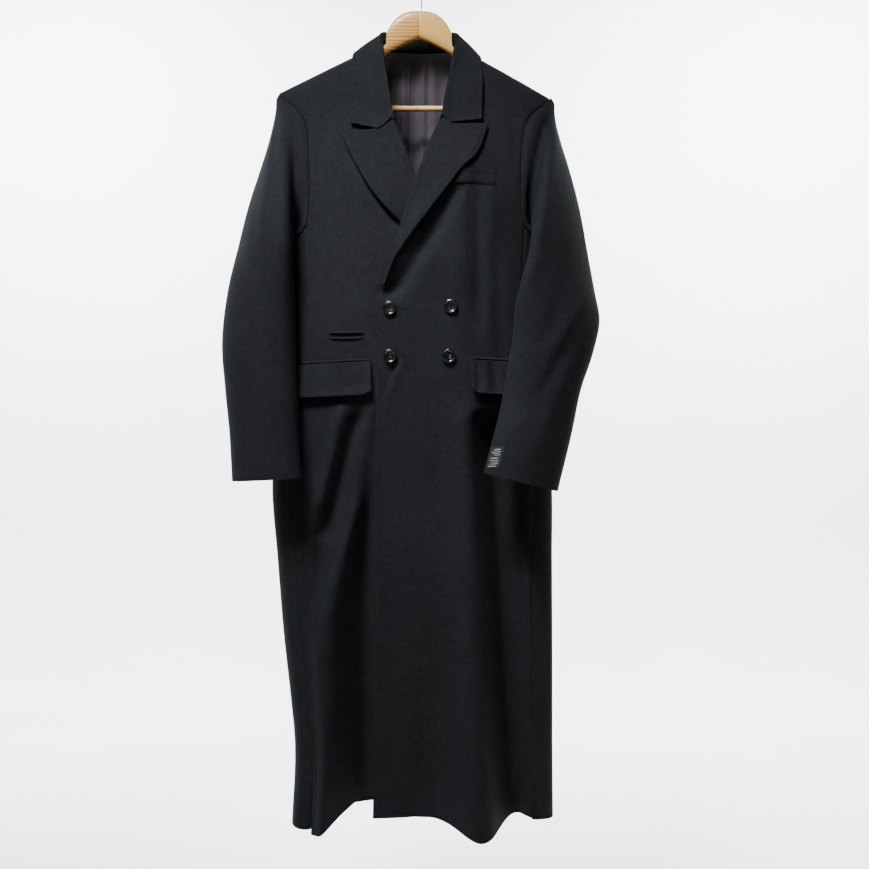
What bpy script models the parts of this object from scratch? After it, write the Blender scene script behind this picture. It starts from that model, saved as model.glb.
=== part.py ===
"""Double-breasted overcoat in dark wool, hanging on a wooden hanger.

Metres, +Z up. The front faces -Y and +X is on the right of someone who looks at the front. The origin is the
inside top of the hanger's hook. Right and left in the names are the wearer's, so the wearer's right is at -X.
"""

import math

import bmesh
import bpy
import numpy as np
from mathutils import Matrix, Vector

# Cloth and seams
CLOTH = 0.0022
SEAM_GAP = 0.0003
LAYER_GAP = 0.0005
LINING = 0.0010
LINING_GAP = 0.0013
LINING_TOP = 0.066
LINING_LOW = 0.100
LINING_BELOW_NECK = 0.004
LINING_LENGTH = 0.300
LINING_WIDENS_BY = 0.4
HEM_Z = -1.413
HEM_DROP_AT_SIDES = 0.014
HEM_FOLLOWS_FOLD = 0.42

# Body: the sections from the shoulders to the hem
SQUARENESS = 2.6
CENTRE_X = -0.009
FRONT_SHOULDER_ROLL = 0.17
BACK_SHOULDER_ROLL = 0.08
SIDE_SEAM_SHARE = 0.84
FRONT_ROWS = 34
FRONT_COLUMNS = 14
BACK_ROWS = 30
BACK_COLUMNS = 9
SIDE_ROWS = 20
SIDE_COLUMNS = 7
COLUMNS_CLOSE_UP = 1.15
FAN_REACH = 0.42
SHOULDER_ROWS = 7
SHOULDER_ROWS_REACH = 0.062
CHEST_ROWS_SHARE = 0.4
CHEST_ROWS_REACH = 0.480
UNDERARM_Z = -0.466
UNDERARM_RISE = 0.020
SIDE_PANEL_REACH = 0.986
SLOPE_STEP = 0.003
LEVELS = (  # height, left edge, right edge, mid plane, depth to the front, depth to the back
    (-0.100, -0.244, 0.226, 0.000, 0.046, 0.036),
    (-0.200, -0.240, 0.222, 0.000, 0.061, 0.042),
    (-0.262, -0.236, 0.218, 0.001, 0.070, 0.044),
    (-0.340, -0.232, 0.214, 0.002, 0.080, 0.045),
    (-0.466, -0.221, 0.203, 0.004, 0.087, 0.046),
    (-0.560, -0.223, 0.200, 0.006, 0.090, 0.046),
    (-0.660, -0.233, 0.206, 0.008, 0.088, 0.045),
    (-0.760, -0.243, 0.214, 0.010, 0.082, 0.045),
    (-0.861, -0.253, 0.221, 0.012, 0.074, 0.046),
    (-0.996, -0.244, 0.221, 0.012, 0.066, 0.048),
    (-1.130, -0.233, 0.221, 0.012, 0.060, 0.050),
    (-1.231, -0.222, 0.221, 0.012, 0.057, 0.052),
    (-1.298, -0.216, 0.221, 0.012, 0.056, 0.054),
    (-1.445, -0.221, 0.222, 0.012, 0.056, 0.056),
)
SHOULDERS = {  # distance of the neck point from the centre, its height, fall of the ridge for each metre out
    -1: (0.067, -0.134, 0.493),
    1: (0.074, -0.137, 0.555),
}
RIDGE_ROUND = 0.060
NECK_DIP = 0.003
BACK_NECK_Z = -0.131

# Large folds: each runs from a top point to a bottom point and lifts the cloth, or sinks it if negative
UNDER_FRONT_FOLDS = (  # top x, top z, bottom x, bottom z, top width, bottom width, top lift, bottom lift
    (-0.100, -0.860, -0.088, -1.440, 0.022, 0.040, -0.004, -0.050),
    (-0.114, -0.920, -0.160, -1.110, 0.014, 0.030, 0.004, 0.014),
    (-0.160, -1.110, -0.172, -1.440, 0.030, 0.030, 0.014, 0.026),
    (-0.142, -0.840, -0.172, -0.930, 0.014, 0.016, 0.005, 0.003),
)
OVER_FRONT_FOLDS = (
    (0.062, -0.700, 0.096, -1.440, 0.030, 0.044, 0.002, 0.054),
    (0.142, -0.860, 0.165, -1.440, 0.024, 0.030, -0.012, -0.012),
)
BACK_FOLDS = (
    (-0.090, -0.620, -0.120, -1.440, 0.040, 0.050, 0.003, 0.030),
    (0.095, -0.640, 0.118, -1.440, 0.040, 0.052, 0.003, 0.026),
    (-0.012, -0.800, -0.006, -1.440, 0.030, 0.034, -0.002, -0.018),
)

FOLD_FADE = 0.09
FOLDS_STOP_SHARE = 0.12
HEM_STARTS_Z = -0.95

# Edges of the fronts: height and place across, above the gorge and below the lapel. The roll line joins them.
NECK_EDGES = {
    -1: ((-0.134, -0.0755), (-0.165, -0.0735), (-0.215, -0.0655), (-0.258, -0.0540)),
    1: ((-0.137, 0.0645), (-0.165, 0.0625), (-0.215, 0.0525), (-0.252, 0.0420)),
}
FRONT_EDGES = {
    -1: ((-0.500, 0.0520), (-0.553, 0.0640), (-0.620, 0.0680), (-1.445, 0.0680)),
    1: (
        (-0.566, -0.0697),
        (-0.600, -0.0709),
        (-0.761, -0.0713),
        (-0.859, -0.0740),
        (-1.087, -0.0712),
        (-1.186, -0.0750),
        (-1.445, -0.0790),
    ),
}
OVER_LIFT = (  # height, how far the over front stands off the under one
    (-0.100, 0.0),
    (-0.270, 0.0),
    (-0.345, 0.0080),
    (-0.500, 0.0080),
    (-0.570, 0.0032),
    (-1.500, 0.0032),
)
OVER_LIFT_FADES = (0.070, 0.125)
ARMHOLES = {  # height, then the distance of the armhole from the centre, on the front and on the back
    -1: (
        (-0.2135, 0.2290, 0.2290),
        (-0.225, 0.2190, 0.2240),
        (-0.250, 0.1950, 0.2120),
        (-0.275, 0.1820, 0.2040),
        (-0.310, 0.1770, 0.2000),
        (-0.370, 0.1750, 0.1960),
        (-0.410, 0.1760, 0.1890),
        (-0.440, 0.1800, 0.1800),
    ),
    1: (
        (-0.2219, 0.2270, 0.2270),
        (-0.232, 0.2180, 0.2220),
        (-0.255, 0.1930, 0.2100),
        (-0.280, 0.1800, 0.2020),
        (-0.310, 0.1750, 0.1980),
        (-0.370, 0.1730, 0.1940),
        (-0.410, 0.1750, 0.1870),
        (-0.440, 0.1790, 0.1790),
    ),
}

# Lapels: the roll line and the outer edge, row by row from the gorge to the break
LAPEL_ROLL = 0.0033
ROLL_CLEARANCE = 0.0019
LAPEL_EDGE_LIFT = {-1: 0.0046, 1: 0.0070}
NOTCH_DROP = 0.011
NOTCH_AT = 0.24
NOTCH_FADES_BY = 0.16
LAPEL_ROWS = 15
LAPEL_ROLL_SHARE = 0.35
LAPEL_LIFTS_FROM = 0.040
LAPELS = {  # roll x, roll z, edge x, edge z
    -1: (
        (-0.0440, -0.2740, -0.1290, -0.2955),
        (-0.0340, -0.3000, -0.1120, -0.3320),
        (-0.0210, -0.3330, -0.0895, -0.3730),
        (-0.0100, -0.3610, -0.0670, -0.4055),
        (0.0065, -0.3980, -0.0310, -0.4430),
        (0.0200, -0.4280, 0.0050, -0.4720),
        (0.0350, -0.4670, 0.0290, -0.4950),
    ),
    1: (
        (0.0316, -0.2680, 0.1080, -0.2810),
        (0.0146, -0.3086, 0.0920, -0.3270),
        (-0.0040, -0.3600, 0.0645, -0.3561),
        (-0.0125, -0.3850, 0.0419, -0.3862),
        (-0.0265, -0.4250, 0.0058, -0.4339),
        (-0.0390, -0.4670, -0.0212, -0.4702),
        (-0.0495, -0.5030, -0.0405, -0.4990),
        (-0.0570, -0.5270, -0.0515, -0.5240),
        (-0.0630, -0.5450, -0.0590, -0.5425),
    ),
}

# Collar: its foot, its fold and the edge of the fall, from the right gorge round the back to the left one
COLLAR_FOLD_RADIUS = 0.0034
COLLAR = (  # foot x, foot y, foot z, fold x, fold y, fold z, edge x, edge y, edge z
    (-0.0490, -0.0690, -0.2660, -0.0440, -0.0760, -0.2660, -0.1140, -0.0690, -0.2740),
    (-0.0622, -0.0530, -0.2150, -0.0540, -0.0640, -0.2080, -0.1110, -0.0550, -0.2110),
    (-0.0692, -0.0300, -0.1650, -0.0620, -0.0380, -0.1500, -0.1120, -0.0320, -0.1750),
    (-0.0702, -0.0010, -0.1330, -0.0640, 0.0000, -0.1110, -0.1120, 0.0020, -0.1440),
    (-0.0480, 0.0300, -0.1295, -0.0460, 0.0300, -0.1010, -0.0740, 0.0520, -0.1450),
    (-0.0090, 0.0345, -0.1280, -0.0090, 0.0380, -0.0980, -0.0090, 0.0580, -0.1480),
    (0.0320, 0.0300, -0.1300, 0.0290, 0.0300, -0.1020, 0.0560, 0.0520, -0.1460),
    (0.0592, -0.0010, -0.1360, 0.0560, 0.0000, -0.1120, 0.0960, 0.0020, -0.1490),
    (0.0582, -0.0300, -0.1650, 0.0520, -0.0380, -0.1530, 0.0985, -0.0320, -0.1760),
    (0.0494, -0.0530, -0.2150, 0.0430, -0.0640, -0.2090, 0.0995, -0.0550, -0.2110),
    (0.0370, -0.0690, -0.2590, 0.0320, -0.0760, -0.2600, 0.0980, -0.0690, -0.2630),
)
COLLAR_STATIONS = 31

# Sleeves: each row is a section, from just under the armhole to the cuff
ARMHOLE_POINTS = 24
UNDERARM_STEPS = 2
SLEEVE_STANDS_OFF = 0.0035
SLEEVE_OPENS_BY = 0.16
SLEEVE_CLEARS_FROM = (-0.436, -0.462)
SLEEVE_ROWS_QUICKEN = 1.15
SLEEVE_ROOM_AT_ARMHOLE = 0.0036
SLEEVE_ROOM = 0.0110
SLEEVE_SEAMS = (-3, 12)
SLEEVES = {  # outer x, y, z, inner x, y, z, bulge to the front, bulge to the back, shift of both bulges
    -1: (
        (-0.247, 0.000, -0.250, -0.221, 0.008, -0.482, 0.060, 0.044, 0.030),
        (-0.256, 0.000, -0.290, -0.225, 0.004, -0.496, 0.072, 0.046, 0.022),
        (-0.270, -0.004, -0.340, -0.225, -0.008, -0.520, 0.078, 0.046, 0.014),
        (-0.288, -0.008, -0.400, -0.219, -0.024, -0.550, 0.074, 0.042, 0.006),
        (-0.305, -0.012, -0.470, -0.213, -0.036, -0.590, 0.066, 0.040, 0.000),
        (-0.322, -0.016, -0.545, -0.208, -0.046, -0.640, 0.058, 0.040, 0.000),
        (-0.331, -0.022, -0.630, -0.204, -0.056, -0.690, 0.050, 0.040, 0.000),
        (-0.324, -0.030, -0.711, -0.200, -0.066, -0.745, 0.046, 0.038, 0.000),
        (-0.317, -0.034, -0.777, -0.197, -0.072, -0.795, 0.043, 0.036, 0.000),
        (-0.312, -0.036, -0.861, -0.192, -0.078, -0.854, 0.040, 0.034, 0.000),
    ),
    1: (
        (0.226, 0.000, -0.258, 0.201, 0.008, -0.482, 0.060, 0.044, -0.030),
        (0.235, 0.000, -0.295, 0.204, 0.004, -0.496, 0.072, 0.046, -0.022),
        (0.248, -0.004, -0.340, 0.197, -0.010, -0.515, 0.078, 0.046, -0.014),
        (0.263, -0.008, -0.400, 0.184, -0.028, -0.545, 0.076, 0.042, -0.008),
        (0.278, -0.014, -0.485, 0.168, -0.046, -0.585, 0.068, 0.040, -0.004),
        (0.289, -0.020, -0.550, 0.156, -0.060, -0.630, 0.060, 0.038, 0.000),
        (0.2955, -0.026, -0.596, 0.146, -0.070, -0.668, 0.054, 0.036, 0.000),
        (0.2840, -0.036, -0.648, 0.138, -0.078, -0.705, 0.050, 0.034, 0.000),
        (0.262, -0.048, -0.712, 0.126, -0.086, -0.752, 0.046, 0.032, 0.000),
        (0.246, -0.058, -0.782, 0.113, -0.092, -0.800, 0.044, 0.032, 0.000),
        (0.2225, -0.066, -0.876, 0.1005, -0.098, -0.846, 0.040, 0.030, 0.000),
    ),
}
SLEEVE_SEAM_GAP = 0.041
SLEEVE_STATIONS = 23
SLEEVE_AROUND = 22

# Pockets
FLAP_HEIGHT = 0.052
FLAP_FALL = 0.040
FLAP_SLOPE = 0.006
FLAP_CORNER = 0.004
FLAP_CORNER_SHARE = 0.05
FLAPS = {  # front end, outer end, top, as the places across and the height
    "right": (-0.0805, -0.2000, -0.6665),
    "left": (0.0815, 0.1780, -0.6640),
}
BEAD_HEIGHT = 0.0045
BEAD_THICKNESS = 0.0020
TICKET_POCKET = (-0.1484, -0.0912, -0.6175)
TICKET_SLIT = 0.0040
CHEST_WELT = (0.0560, 0.1225, -0.3560, 0.0240)

# Buttons
BUTTON_RADIUS = 0.0110
BUTTON_SIDES = 18
BUTTON_RIM = 0.0022
BUTTON_THICKNESS = 0.0042
BUTTON_DISH = 0.0010
BUTTON_HOLE_RADIUS = 0.0011
BUTTON_HOLE_SPREAD = 0.0024
BUTTONS = (
    ("button_upper_right", -0.0503, -0.5815),
    ("button_upper_left", 0.0482, -0.5785),
    ("button_lower_right", -0.0499, -0.6582),
    ("button_lower_left", 0.0450, -0.6584),
)

# Sleeve label: its place as shares of the sleeve's girth and length
LABEL_AROUND = (2.30, 2.86)
LABEL_ALONG = (0.880, 0.968)
LABEL_THICKNESS = 0.0008
LABEL_GAP = 0.0009

# Hanger
HANGER_X = -0.004
HANGER_PROFILE = (  # distance from the middle, top, bottom, half thickness
    (0.000, -0.0733, -0.1200, 0.0085),
    (0.018, -0.0750, -0.1270, 0.0085),
    (0.032, -0.0810, -0.1340, 0.0083),
    (0.045, -0.0935, -0.1405, 0.0080),
    (0.054, -0.1085, -0.1460, 0.0076),
    (0.061, -0.1280, -0.1510, 0.0072),
    (0.067, -0.1430, -0.1560, 0.0070),
    (0.100, -0.1430, -0.1780, 0.0070),
    (0.135, -0.1430, -0.2010, 0.0072),
    (0.160, -0.1430, -0.2300, 0.0075),
    (0.178, -0.1430, -0.2450, 0.0072),
    (0.194, -0.1430, -0.2410, 0.0062),
    (0.203, -0.1430, -0.2260, 0.0036),
)
HANGER_NECK = 0.054
HANGER_NECK_END = 0.066
HANGER_STATIONS = 22
HANGER_STATIONS_CLOSE_UP = 0.9
HANGER_SIDES = 10
BAR_Z = -0.2375
BAR_RADIUS = 0.0047
BAR_REACH = 0.1628
HOOK_WIRE = 0.0018
HOOK_INSIDE = 0.0190
HOOK_TURN = (-1.05, 3.45)
HOOK_STEPS = 18


def clear_scene():
    """Remove what a new file starts with."""
    for thing in list(bpy.data.objects):
        bpy.data.objects.remove(thing, do_unlink=True)


def material(name, colour, roughness, metallic=0.0):
    """A Principled finish with the colour, roughness and metallic value given."""
    made = bpy.data.materials.new(name)
    made.use_nodes = True
    shader = made.node_tree.nodes["Principled BSDF"]
    shader.inputs["Base Color"].default_value = (*colour, 1.0)
    shader.inputs["Roughness"].default_value = roughness
    shader.inputs["Metallic"].default_value = metallic
    return made


def through(places, knots, values):
    """A smooth curve through the knots: cubic steps with the slope of the neighbours at each knot."""
    knots = np.asarray(knots, float)
    values = np.asarray(values, float)
    if knots[0] > knots[-1]:
        knots = knots[::-1]
        values = values[::-1]
    slopes = np.gradient(values, knots)
    places = np.clip(places, knots[0], knots[-1])
    step = np.clip(np.searchsorted(knots, places) - 1, 0, len(knots) - 2)
    width = knots[step + 1] - knots[step]
    t = (places - knots[step]) / width
    rise = (2 * t**3 - 3 * t**2 + 1) * values[step] + (3 * t**2 - 2 * t**3) * values[step + 1]
    return rise + ((t**3 - 2 * t**2 + t) * slopes[step] + (t**3 - t**2) * slopes[step + 1]) * width


def column(table, number):
    """One column of a table as an array."""
    return np.array([row[number] for row in table])


def ease(low, high, value):
    """0 below low, 1 above high, and a smooth step between."""
    t = np.clip((value - low) / (high - low), 0.0, 1.0)
    return t * t * (3 - 2 * t)


def section(z):
    """Centre, half width, mid plane, front depth and back depth of the body at a height."""
    heights = column(LEVELS, 0)
    left, right, mid, ahead, behind = (through(z, heights, column(LEVELS, n)) for n in range(1, 6))
    return (left + right) / 2, (right - left) / 2, mid, ahead, behind


def ridge(x):
    """Height of the shoulder ridge, which falls away evenly from each neck point."""
    out = np.abs(x - CENTRE_X)
    out = np.where(out < RIDGE_ROUND, RIDGE_ROUND / 2 + out * out / (2 * RIDGE_ROUND), out)
    heights = [SHOULDERS[s][1] - (out - SHOULDERS[s][0]) * SHOULDERS[s][2] for s in (-1, 1)]
    return np.where(x < CENTRE_X, heights[0], heights[1])


def fold_lift(x, z, folds):
    """How far the folds carry the cloth out: each is a soft ridge round its own line, from top to bottom."""
    total = np.zeros(np.broadcast(x, z).shape)
    for top_x, top_z, low_x, low_z, top_width, low_width, top_lift, low_lift in folds:
        down = np.clip((top_z - z) / (top_z - low_z), 0.0, 1.0)
        width = top_width + (low_width - top_width) * down
        away = (x - top_x - (low_x - top_x) * down) / width
        starts = ease(top_z + FOLD_FADE, top_z - FOLD_FADE / 2, z)
        ends = 1.0 if low_z < HEM_Z else ease(low_z - FOLD_FADE, low_z + FOLD_FADE / 2, z)
        total = total + (top_lift + (low_lift - top_lift) * down) * np.exp(-away * away) * starts * ends
    return total


def over_lift(x, z):
    """How far the over front stands off the under one: it rides over the other lapel, then lies close."""
    near = 1.0 - ease(*OVER_LIFT_FADES, x)
    return near * np.interp(-z, -column(OVER_LIFT, 0), column(OVER_LIFT, 1))


def front_y(x, z, side):
    """Depth of the outer face of a front: a squared oval, closed over the shoulder ridge, with its folds."""
    centre, half, mid, ahead, _ = section(z)
    across = np.clip(np.abs(x - centre) / half, 0.0, 1.0)
    rounded = (1.0 - across**SQUARENESS) ** (1.0 / SQUARENESS)
    drop = np.clip((ridge(x) - z) / FRONT_SHOULDER_ROLL, 0.0, 1.0)
    y = mid - ahead * rounded * np.sqrt(1.0 - (1.0 - drop) ** 2)
    folds = UNDER_FRONT_FOLDS if side < 0 else OVER_FRONT_FOLDS
    inside = 1.0 - ease(SIDE_SEAM_SHARE - FOLDS_STOP_SHARE, SIDE_SEAM_SHARE, across)
    y = y - fold_lift(x, z, folds) * inside
    return y if side < 0 else y - over_lift(x, z)


def back_y(x, z):
    """Depth of the outer face of the back, made as the front is, but flatter."""
    centre, half, mid, _, behind = section(z)
    across = np.clip(np.abs(x - centre) / half, 0.0, 1.0)
    rounded = (1.0 - across**SQUARENESS) ** (1.0 / SQUARENESS)
    drop = np.clip((ridge(x) - z) / BACK_SHOULDER_ROLL, 0.0, 1.0)
    inside = 1.0 - ease(SIDE_SEAM_SHARE - FOLDS_STOP_SHARE, SIDE_SEAM_SHARE, across)
    return mid + behind * rounded * np.sqrt(1.0 - (1.0 - drop) ** 2) + fold_lift(x, z, BACK_FOLDS) * inside


def hem_z(x, z, lift):
    """Height of the hem: a little lower at the sides, and where a fold carries the cloth out."""
    centre, half, *_ = section(z)
    return HEM_Z - HEM_DROP_AT_SIDES * ((x - centre) / half) ** 2 - HEM_FOLLOWS_FOLD * lift


def rows_down(top, count):
    """Heights from a top edge to the hem: close over the shoulder roll and the chest, wider below."""
    roll = SHOULDER_ROWS_REACH * (np.arange(SHOULDER_ROWS) / SHOULDER_ROWS) ** 2
    chest_rows = round(count * CHEST_ROWS_SHARE)
    chest = np.linspace(SHOULDER_ROWS_REACH, CHEST_ROWS_REACH, chest_rows + 1)[:-1]
    rest = np.linspace(CHEST_ROWS_REACH, top - HEM_Z, count - SHOULDER_ROWS - chest_rows)
    return top - np.concatenate([roll, chest, rest])


def armhole_x(z, side, face):
    """Place of the armhole edge or, lower down, of the side seam. Face 1 is the front and 2 the back."""
    table = ARMHOLES[side]
    centre, half, *_ = section(z)
    seam = centre + side * half * SIDE_SEAM_SHARE
    edge = CENTRE_X + side * through(z, column(table, 0), column(table, face))
    return np.where(z < table[-1][0], seam, edge)


def facing_of(points, outwards):
    """Unit normals of a grid of points, exact at its edges for curves of the second degree."""
    along = np.gradient(points, axis=0, edge_order=2)
    across = np.gradient(points, axis=1, edge_order=min(2, points.shape[1] - 1))
    normal = np.cross(along, across) * outwards
    return normal / np.linalg.norm(normal, axis=-1, keepdims=True)


def wall_object(name, points, finish, outwards, thickness=CLOTH, lift=0.0):
    """A cloth wall: a grid of points moved out by a lift, with a second skin one thickness inside it."""
    rows, columns = points.shape[:2]
    normal = facing_of(points, outwards)
    outer = points + normal * lift
    inner = outer - normal * thickness
    count = rows * columns
    place = np.arange(count).reshape(rows, columns)
    skin = np.stack([place[:-1, :-1], place[1:, :-1], place[1:, 1:], place[:-1, 1:]], -1).reshape(-1, 4)
    ring = np.concatenate([place[:-1, 0], place[-1, :-1], place[:0:-1, -1], place[0, :0:-1]])
    after = np.roll(ring, -1)
    rim = np.stack([after, ring, ring + count, after + count], -1)
    faces = np.concatenate([skin, skin[:, ::-1] + count, rim])
    if outwards < 0:
        faces = faces[:, ::-1]
    vertices = np.concatenate([outer.reshape(-1, 3), inner.reshape(-1, 3)])
    mesh = bpy.data.meshes.new(name)
    mesh.from_pydata(vertices.tolist(), [], faces.tolist())
    mesh.materials.append(finish)
    mesh.shade_smooth()
    made = bpy.data.objects.new(name, mesh)
    bpy.context.collection.objects.link(made)
    return made


def inner_edge(side):
    """Heights and places of a front's inner edge: the neck seam, just past the roll, then the free edge."""
    roll = [(z, x + side * (LAPEL_ROLL + ROLL_CLEARANCE)) for x, z, _, _ in LAPELS[side]]
    table = NECK_EDGES[side] + tuple(roll) + FRONT_EDGES[side]
    return column(table, 0), column(table, 1)


def front_panel(name, side, finish):
    """A front: rows fan out from the neck and roll edge to the shoulder, the armhole and the side seam."""
    heights, places = inner_edge(side)
    top_inner = float(ridge(places[0]))
    inner_z = rows_down(top_inner, FRONT_ROWS)[:, None]
    tip_fall = ARMHOLES[side][0][0] - top_inner
    outer_z = inner_z + tip_fall * (1.0 - ease(0.0, FAN_REACH, top_inner - inner_z))
    gap = -side * SEAM_GAP / 2
    inner_x = through(inner_z, heights, places)
    outer_x = armhole_x(outer_z, side, 1) + gap
    s = np.linspace(0.0, 1.0, FRONT_COLUMNS)[None, :]
    s = np.sin(s * COLUMNS_CLOSE_UP) / math.sin(COLUMNS_CLOSE_UP)
    x = inner_x + (outer_x - inner_x) * s
    z = inner_z + (outer_z - inner_z) * s
    folds = UNDER_FRONT_FOLDS if side < 0 else OVER_FRONT_FOLDS
    low = ease(HEM_STARTS_Z, HEM_Z, z)
    z = z + low * (hem_z(x, z, fold_lift(x, z, folds)) - HEM_Z)
    y = front_y(x, z, side)
    y[0] -= SEAM_GAP / 2
    return wall_object(name, np.stack([x, y, z], -1), finish, side)


def back_panel(name, side, finish):
    """Half of the back, from the centre seam to the armhole and the side seam."""
    inner_z = rows_down(BACK_NECK_Z, BACK_ROWS)[:, None]
    fan = 1.0 - ease(0.0, FAN_REACH, BACK_NECK_Z - inner_z)
    outer_z = inner_z + (ARMHOLES[side][0][0] - BACK_NECK_Z) * fan
    gap = side * SEAM_GAP / 2
    outer_x = armhole_x(outer_z, side, 2) - gap
    s = np.linspace(0.0, 1.0, BACK_COLUMNS)[None, :]
    s = 0.5 * (s + np.sin(s * COLUMNS_CLOSE_UP) / math.sin(COLUMNS_CLOSE_UP))
    x = CENTRE_X + gap + (outer_x - CENTRE_X - gap) * s
    neck = SHOULDERS[side][0]
    out = np.abs(x - CENTRE_X)
    top_z = np.where(out < neck, BACK_NECK_Z - NECK_DIP * out / neck, ridge(x))
    z = inner_z + (top_z - BACK_NECK_Z) * fan
    low = ease(HEM_STARTS_Z, HEM_Z, z)
    z = z + low * (hem_z(x, z, fold_lift(x, z, BACK_FOLDS)) - HEM_Z)
    y = back_y(x, z)
    y[0] += SEAM_GAP / 2
    return wall_object(name, np.stack([x, y, z], -1), finish, -side)


def outward(x, z, depth, sign):
    """Unit normals of a face whose depth is a function of its place: sign -1 faces the front and 1 the back."""
    slope_x = (depth(x + SLOPE_STEP, z) - depth(x - SLOPE_STEP, z)) / (2 * SLOPE_STEP)
    slope_z = (depth(x, z + SLOPE_STEP) - depth(x, z - SLOPE_STEP)) / (2 * SLOPE_STEP)
    normal = np.stack([-slope_x, np.ones_like(slope_x), -slope_z], -1) * sign
    return normal / np.linalg.norm(normal, axis=-1, keepdims=True)


def side_point(turn, z, side):
    """A point on the body's side: turn -1 is the front side seam, 0 the side itself, 1 the back side seam."""
    centre, half, mid, ahead, behind = section(z)
    seam = math.asin(SIDE_SEAM_SHARE ** (SQUARENESS / 2))
    angle = math.pi / 2 + turn * (math.pi / 2 - seam)
    x = centre + side * half * np.abs(np.sin(angle)) ** (2 / SQUARENESS)
    reach = np.abs(np.cos(angle)) ** (2 / SQUARENESS)
    return np.stack([x, np.where(turn < 0, mid - ahead * reach, mid + behind * reach), z + 0 * x], -1)


def side_panel(name, side, finish):
    """The panel under the arm, between the two side seams."""
    turn = np.linspace(-SIDE_PANEL_REACH, SIDE_PANEL_REACH, SIDE_COLUMNS)[None, :]
    top = UNDERARM_Z + UNDERARM_RISE * turn**2
    t = np.linspace(0.0, 1.0, SIDE_ROWS)[:, None]
    z = top + (HEM_Z - HEM_DROP_AT_SIDES - top) * t
    return wall_object(name, side_point(turn + 0 * z, z, side), finish, side)


def resample(points, count):
    """Points spaced evenly along a line of points."""
    lengths = np.concatenate([[0.0], np.cumsum(np.linalg.norm(np.diff(points, axis=0), axis=1))])
    places = np.linspace(0.0, lengths[-1], count)
    return np.stack([np.interp(places, lengths, points[:, n]) for n in range(3)], -1)


def armhole_loop(side, count):
    """The armhole: down the front from the shoulder point, under the arm and up the back, just off the body."""
    top, bottom = ARMHOLES[side][0][0], ARMHOLES[side][-1][0]
    z = np.linspace(top, bottom, ARMHOLE_POINTS)
    front_x = armhole_x(z, side, 1)
    back_x = armhole_x(z, side, 2)
    front = np.stack([front_x, front_y(front_x, z, side), z], -1)
    front = front + outward(front_x, z, lambda a, b: front_y(a, b, side), -1) * SLEEVE_STANDS_OFF
    back = np.stack([back_x, back_y(back_x, z), z], -1)
    back = back + outward(back_x, z, back_y, 1) * SLEEVE_STANDS_OFF
    tip = np.array([side, 0.0, 1.0]) * SLEEVE_STANDS_OFF
    front[0] = back[0] = np.array([front_x[0], 0.0, top]) + tip
    turn = np.linspace(-1.0, 1.0, 2 * UNDERARM_STEPS + 1)
    under = side_point(turn, UNDERARM_Z + UNDERARM_RISE * turn**2, side)
    under += np.array([side * SLEEVE_ROOM_AT_ARMHOLE, 0.0, SEAM_GAP * 3])
    steps = count // 2 - UNDERARM_STEPS
    down = resample(front, steps + 1)
    up = resample(back[::-1], steps + 1)
    return np.concatenate([down, under[1:-1], up])


def clear_of_body(points, stations, side):
    """Moves sleeve points out of an oval round the body, which widens from the armhole down."""
    x, y, z = points[..., 0], points[..., 1], points[..., 2]
    centre, half, mid, ahead, behind = section(z)
    opened = ease(0.0, SLEEVE_OPENS_BY, stations)[:, None]
    room = SLEEVE_ROOM_AT_ARMHOLE + (SLEEVE_ROOM - SLEEVE_ROOM_AT_ARMHOLE) * opened
    across = (x - centre) / (half + room)
    deep = (y - mid) / (np.where(y < mid, ahead, behind) + room)
    reach = (np.abs(across) ** SQUARENESS + np.abs(deep) ** SQUARENESS) ** (1.0 / SQUARENESS)
    push = np.maximum(1.0 / np.maximum(reach, 0.2), 1.0)
    push = 1.0 + (push - 1.0) * ease(*SLEEVE_CLEARS_FROM, z)
    return np.stack([centre + (x - centre) * push, mid + (y - mid) * push, z], -1)


def sleeve_surface(side, angles, stations):
    """The outer face of a sleeve: sections lofted from the armhole to the cuff."""
    table = np.array(SLEEVES[side])
    outer, inner = table[:, 0:3], table[:, 3:6]
    turns = np.linspace(0.0, 2 * math.pi, 2 * (SLEEVE_AROUND // 2) + 1)
    middle = (outer + inner)[:, None, :] / 2
    reach = (outer - inner)[:, None, :] / 2
    sine = np.sin(turns)[None, :]
    bulge = np.where(sine > 0, -table[:, 6:7], table[:, 7:8]) * np.abs(sine)
    shift = table[:, 8:9] * np.abs(sine)
    loops = middle + reach * np.cos(turns)[None, :, None]
    loops = loops + np.stack([shift, bulge, 0 * sine + 0 * bulge], -1)
    loops = np.concatenate([armhole_loop(side, SLEEVE_AROUND)[None], loops])
    spans = np.linalg.norm(np.diff(loops.mean(axis=1), axis=0), axis=1)
    knots = np.concatenate([[0.0], np.cumsum(spans)])
    knots = knots / knots[-1]
    grid = np.empty((len(stations), loops.shape[1], 3))
    for n in range(loops.shape[1]):
        for axis in range(3):
            grid[:, n, axis] = through(stations, knots, loops[:, n, axis])
    wanted = np.mod(angles, 2 * math.pi)
    found = np.empty((len(stations), len(angles), 3))
    for row in range(len(stations)):
        for axis in range(3):
            found[row, :, axis] = np.interp(wanted, turns, grid[row, :, axis])
    return clear_of_body(found, stations, side)


def sleeve_piece(name, side, start, end, finish):
    """A strip of a sleeve between two of its lines, from the armhole to the cuff."""
    angles = np.arange(start, end + 1) * (2 * math.pi / SLEEVE_AROUND)
    angles = angles + np.where(angles == angles[0], SLEEVE_SEAM_GAP, 0.0)
    angles = angles - np.where(angles == angles[-1], SLEEVE_SEAM_GAP, 0.0)
    stations = np.linspace(0.0, 1.0, SLEEVE_STATIONS) ** SLEEVE_ROWS_QUICKEN
    return wall_object(name, sleeve_surface(side, angles, stations), finish, -side)


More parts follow.
